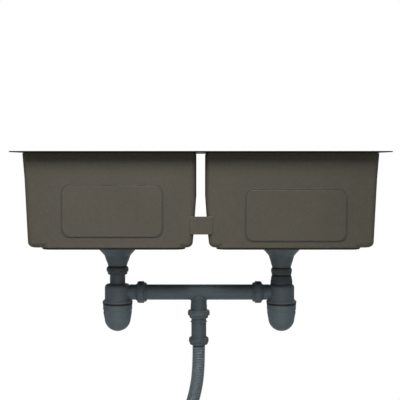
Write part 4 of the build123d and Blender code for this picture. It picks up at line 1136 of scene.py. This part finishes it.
# %% Rubs
rubs, given, out = new_group(
    "rubs", {"Vector": ("Vector", None), "Scale": ("Float", 90.0)}, {"Mask": "Float"})
marks = []
for turn in (0.3, 1.9):
    space = {"Vector": given["Vector"], "Rotation": (turn, turn, turn), "Scale": (1, 1, 14)}
    turned_space = node(rubs, "ShaderNodeMapping", space).outputs["Vector"]
    line = noise(rubs, turned_space, given["Scale"], detail=1.0)
    marks.append(between(rubs, line, 0.66, 0.72, 0.0, 1.0))
rubs.links.new(maths(rubs, "MAXIMUM", *marks), out["Mask"])

# %% [markdown]
# ### Brushed streaks
# Steel sheet is brushed along its length. The streaks are a noise that is stretched more than a hundred
# times along X.

# %% Streaks
streaks, given, out = new_group(
    "streaks", {"Vector": ("Vector", None), "Scale": ("Vector", (6, 700, 700))}, {"Value": "Float"})
stretched = node(streaks, "ShaderNodeVectorMath", {0: given["Vector"], 1: given["Scale"]},
                 operation="MULTIPLY").outputs[0]
streaks.links.new(noise(streaks, stretched, 1.0, detail=3.0, roughness=0.6), out["Value"])


# %% [markdown]
# ### Starting a finish
# Every finish begins with a new material. Its Principled shader gets the numbers that are the same all
# over, and the rest is linked to it: colour, roughness and the fine bumps.

# %% Starting a finish
finishes = {}


def new_finish(slot, **fixed):
    """A material with a Principled shader whose fixed numbers are set on its own sockets."""
    material = bpy.data.materials.new(slot)
    material.use_nodes = True
    tree = material.node_tree
    shader = next(item for item in tree.nodes if item.type == "BSDF_PRINCIPLED")
    for name, value in fixed.items():
        shader.inputs[name.replace("_", " ")].default_value = value
    finishes[slot] = material
    print("finish:", slot)
    return tree, shader.inputs, node(tree, "ShaderNodeTexCoord").outputs["Object"]


def use(tree, group, values):
    return node(tree, "ShaderNodeGroup", values, node_tree=group).outputs[0]


# %% [markdown]
# ### The sound coat's finish
# Taupe, matt, with an orange peel from the spray gun and a fine speckle of lighter and darker grit.
# Points marked for crevice shade are painted much darker, as painted shade in the pads' grooves and
# under the bowls' bends, and a little dust lies on what faces up.

# %% Sound coat
tree, shader, place = new_finish("sound_coat", Specular_IOR_Level=0.3)
taupe = (0.075, 0.0675, 0.0515, 1)
colour = use(tree, mottle, {"Vector": place, "Colour": taupe, "Size": 9.0, "Spread": 0.09})
grit = noise(tree, place, 900.0, detail=1.0)
dark_grit = between(tree, grit, 0.62, 0.72, 0.0, 0.3)
light_grit = between(tree, grit, 0.38, 0.28, 0.0, 0.25)
colour = blend_colours(tree, dark_grit, colour, (0.035, 0.031, 0.026, 1))
colour = blend_colours(tree, light_grit, colour, (0.19, 0.178, 0.15, 1))
# Painted shade in the crevices, from the marks on the pads.
painted_crevice_shade = node(tree, "ShaderNodeAttribute", attribute_name="painted_crevice_shade").outputs["Fac"]
colour = blend_colours(tree, maths(tree, "MULTIPLY", painted_crevice_shade, 0.8), colour, (0.016, 0.015, 0.012, 1))
dusty = maths(tree, "MULTIPLY", use(tree, dust, {"Vector": place}), 0.3)
tree.links.new(blend_colours(tree, dusty, colour, (0.3, 0.28, 0.25, 1)), shader["Base Color"])
tree.links.new(between(tree, noise(tree, place, 300.0), 0.3, 0.7, 0.62, 0.85), shader["Roughness"])
tree.links.new(use(tree, grain, {"Vector": place, "Scale": 420.0, "Height": 0.0003}), shader["Normal"])

# %% [markdown]
# ### The sheet steel's finish
# Dark gunmetal, brushed along the sink. The streaks change how rough it is, and a fine bump carries
# them into the reflections. The rim's edge and underside are painted darker than its top, as painted
# shade and a painted brownish reflection of the shaded coat. They are found by their height and by
# the way their surface looks.

# %% Dark brushed steel
tree, shader, place = new_finish("sink_steel", Metallic=1.0)
lines = use(tree, streaks, {"Vector": place, "Scale": (5.0, 800.0, 800.0)})
colour = use(tree, mottle, {"Vector": place, "Colour": (0.13, 0.13, 0.133, 1), "Size": 5.0, "Spread": 0.05})
lighter = between(tree, lines, 0.35, 0.75, 0.0, 0.4)
colour = blend_colours(tree, lighter, colour, (0.2, 0.2, 0.204, 1))
height = node(tree, "ShaderNodeSeparateXYZ", {"Vector": place}).outputs["Z"]
facing = node(tree, "ShaderNodeNewGeometry").outputs["Normal"]
slope = node(tree, "ShaderNodeSeparateXYZ", {"Vector": facing}).outputs["Z"]
# Painted shade and a painted reflection on the rim's edge and underside: what doesn't face up, near the
# rim's height.
not_up = between(tree, slope, 0.2, 0.8, 1.0, 0.0)
at_rim = between(tree, height, -0.0035, -0.001, 0.0, 1.0)
painted_rim_shade = maths(tree, "MULTIPLY", not_up, at_rim)
colour = blend_colours(tree, painted_rim_shade, colour, (0.03, 0.028, 0.023, 1))
tree.links.new(colour, shader["Base Color"])
worn = maths(tree, "MULTIPLY", use(tree, rubs, {"Vector": place, "Scale": 60.0}), 0.06)
rough = between(tree, lines, 0.3, 0.7, 0.3, 0.44)
tree.links.new(maths(tree, "ADD", rough, worn), shader["Roughness"])
bump = node(tree, "ShaderNodeBump", {"Strength": 0.35, "Distance": 0.0001, "Height": lines})
tree.links.new(bump.outputs["Normal"], shader["Normal"])

# %% [markdown]
# ### Polished steel
# Strainers, baskets, knobs and screws are stamped or turned and then polished, with a few rubs.

# %% Polished steel
tree, shader, place = new_finish("polished_steel", Metallic=1.0)
colour = use(tree, mottle, {"Vector": place, "Colour": (0.56, 0.56, 0.57, 1), "Size": 40.0, "Spread": 0.04})
tree.links.new(colour, shader["Base Color"])
marks = use(tree, rubs, {"Vector": place, "Scale": 120.0})
tree.links.new(between(tree, marks, 0.0, 1.0, 0.16, 0.34), shader["Roughness"])
tree.links.new(use(tree, grain, {"Vector": place, "Scale": 900.0, "Height": 0.00003}), shader["Normal"])


# %% [markdown]
# ### Moulded plastic
# Pipes, traps and nuts are satin and bluish grey, the nuts a little darker. The hose is paler and a
# touch smoother. All have flow clouds, a fine spark texture, a few rubs, and pale dust on what faces up.
# Where a piece carries the painted shade and tone mark, its colour falls to two thirds. It is painted
# shade in the hose's grooves, on the tail nuts, on the inlet collar, on the tee's spigot and on the hose's
# collar, and a darker tone of plastic on the adapter and the hose's nut.

# %% Plastics
def plastic(slot, colour, rough, height, dust_share):
    tree, shader, place = new_finish(slot, Specular_IOR_Level=0.4)
    base = use(tree, mottle, {"Vector": place, "Colour": (*colour, 1), "Size": 16.0, "Spread": 0.07})
    # Painted shade, and on the adapter and the hose's nut a darker tone, read from the mark.
    painted_shade_and_tone = node(tree, "ShaderNodeAttribute", attribute_name="painted_shade_and_tone").outputs["Fac"]
    base = blend_colours(tree, painted_shade_and_tone, base, (*(channel * 0.68 for channel in colour), 1))
    marks = use(tree, rubs, {"Vector": place, "Scale": 70.0})
    paler = tuple(min(1.0, channel * 1.5 + 0.01) for channel in colour)
    base = blend_colours(tree, maths(tree, "MULTIPLY", marks, 0.3), base, (*paler, 1))
    dusty = maths(tree, "MULTIPLY", use(tree, dust, {"Vector": place, "Scale": 90.0}), dust_share)
    tree.links.new(blend_colours(tree, dusty, base, (0.26, 0.27, 0.27, 1)), shader["Base Color"])
    patches = between(tree, noise(tree, place, 110.0, detail=3.0), 0.3, 0.7, rough - 0.05, rough + 0.08)
    tree.links.new(maths(tree, "ADD", patches, maths(tree, "MULTIPLY", marks, 0.1)), shader["Roughness"])
    tree.links.new(use(tree, grain, {"Vector": place, "Scale": 1300.0, "Height": height}), shader["Normal"])


plastic("pipe_plastic", (0.07, 0.093, 0.105), rough=0.54, height=0.00006, dust_share=0.12)
plastic("nut_plastic", (0.062, 0.081, 0.09), rough=0.55, height=0.00008, dust_share=0.12)
plastic("hose_plastic", (0.124, 0.157, 0.168), rough=0.52, height=0.00008, dust_share=0.1)


# %% [markdown]
# ### Rubber
# Seals and stoppers are black, the cuff and the damping pads dark grey. Rubber scatters the light and
# shows pale bloom and dust.

# %% Rubbers
def rubber(slot, colour, rough, bloom):
    tree, shader, place = new_finish(slot, Specular_IOR_Level=0.35)
    base = use(tree, mottle, {"Vector": place, "Colour": (*colour, 1), "Size": 30.0, "Spread": 0.12})
    patches = between(tree, noise(tree, place, 75.0, detail=4.0), 0.5, 0.75, 0.0, bloom)
    dusty = maths(tree, "MULTIPLY", use(tree, dust, {"Vector": place, "Scale": 120.0}), 0.1)
    base = blend_colours(tree, maths(tree, "ADD", patches, dusty), base, (0.13, 0.13, 0.125, 1))
    tree.links.new(base, shader["Base Color"])
    tree.links.new(between(tree, noise(tree, place, 200.0), 0.3, 0.7, rough - 0.08, rough + 0.08),
                   shader["Roughness"])
    tree.links.new(use(tree, grain, {"Vector": place, "Scale": 1600.0, "Height": 0.00012}), shader["Normal"])


rubber("black_rubber", (0.008, 0.008, 0.009), rough=0.6, bloom=0.03)
rubber("cuff_rubber", (0.045, 0.053, 0.057), rough=0.68, bloom=0.1)
rubber("damping_pad", (0.05, 0.05, 0.05), rough=0.8, bloom=0.15)

# %% [markdown]
# ### Putting the finishes on
# Pieces made here take the finish of their slot. CAD nodes that stay take theirs the same way.

# %% Assigning
for piece, slot in made:
    piece.data.materials.clear()
    piece.data.materials.append(finishes[slot])
for side in DRAINS:
    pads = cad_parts[side + "_sound_pads"]
    pads.data.materials.clear()
    pads.data.materials.append(finishes["damping_pad"])
print(len(made), "pieces with", len(finishes), "finishes")

# %% [markdown]
# ## Light
# A large soft key light in front, a little to the left and high, throws the rim's shadow on the walls.
# Two small lights, low in front, reach under the bowls to the cups. Two more, above and behind, keep
# the sink's top and back from going dark in other views.

# %% Lights
def area_light(name, at, towards, width, height, power):
    data = bpy.data.lights.new(name, "AREA")
    data.shape = "RECTANGLE"
    data.size, data.size_y, data.energy = width, height, power
    light = bpy.data.objects.new(name, data)
    light.location = at
    light.visible_camera = False
    light.rotation_euler = (Vector(towards) - Vector(at)).to_track_quat("-Z", "Y").to_euler()
    bpy.context.collection.objects.link(light)
    print(name, "light:", power, "W")
    return light


key = area_light("key", (-0.17, -1.58, 1.26), (-0.14, -0.1, -0.3), width=0.9, height=1.05, power=8.0)
key.data.spread = radians(68)
for side, x in (("left", -0.21), ("right", 0.21)):
    low = area_light("low_" + side, (0.3 * x, -2.0, -0.95), (x, 0, -0.42), width=0.3, height=0.25,
                     power=0.07)
    low.data.spread = radians(18)
area_light("overhead", (0, 0.5, 2.6), (0, 0.3, 0), width=1.6, height=1.2, power=40)
area_light("back", (1.3, 2.2, 1.3), (0, 0, -0.3), width=1.5, height=1.5, power=26)

# %% [markdown]
# White surroundings fill the shadows. The camera sees them as pure white, but they light the sink much
# more weakly, and only a little more strongly in its reflections.

# %% White surroundings
FILL, MIRRORED = 0.31, 0.35

world = bpy.data.worlds.new("white_surroundings")
world.use_nodes = True
bpy.context.scene.world = world
tree = world.node_tree
back = next(item for item in tree.nodes if item.type == "BACKGROUND")
ray = node(tree, "ShaderNodeLightPath").outputs
mirrored = maths(tree, "MULTIPLY", ray["Is Glossy Ray"], MIRRORED)
tree.links.new(maths(tree, "MAXIMUM", maths(tree, "MAXIMUM", ray["Is Camera Ray"], mirrored), FILL),
               back.inputs["Strength"])
back.inputs["Color"].default_value = (1, 1, 1, 1)
bpy.context.scene.view_settings.view_transform = "Standard"
print("surroundings fill at", FILL, "and mirror at", MIRRORED)

# %% [markdown]
# The floor is plain, pale and matt. It lies under the cuff, far below the photograph's edge. It is
# large, and far from the lights it would look grey against the white surroundings. So it glows a
# little, but only for the camera, and the light on the sink stays the same.

# %% Floor
FLOOR_HALF_WIDTH, FLOOR_HALF_DEPTH, FLOOR_Y = 5.5, 3.6, -1.75
FLOOR_GLOW = 0.42

bpy.ops.mesh.primitive_plane_add(size=2, location=(0, FLOOR_Y, cad_box[0][2] - 0.001))
floor = bpy.context.object
floor.scale = (FLOOR_HALF_WIDTH, FLOOR_HALF_DEPTH, 1)
floor.name = "floor"
settle(floor)
tree, shader, place = new_finish("floor", Roughness=0.9)
pale = (0.8, 0.8, 0.79, 1)
colour = use(tree, mottle, {"Vector": place, "Colour": pale, "Size": 3.0, "Spread": 0.01})
tree.links.new(colour, shader["Base Color"])
seen = node(tree, "ShaderNodeLightPath").outputs["Is Camera Ray"]
tree.links.new(maths(tree, "MULTIPLY", seen, FLOOR_GLOW), shader["Emission Strength"])
shader["Emission Color"].default_value = (1, 1, 1, 1)
floor.data.materials.append(finishes["floor"])
floor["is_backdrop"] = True

# %% [markdown]
# ## The end
# The size of what was modelled here is measured, as the CAD box was at the start.

# %% Measuring the size
low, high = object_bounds()
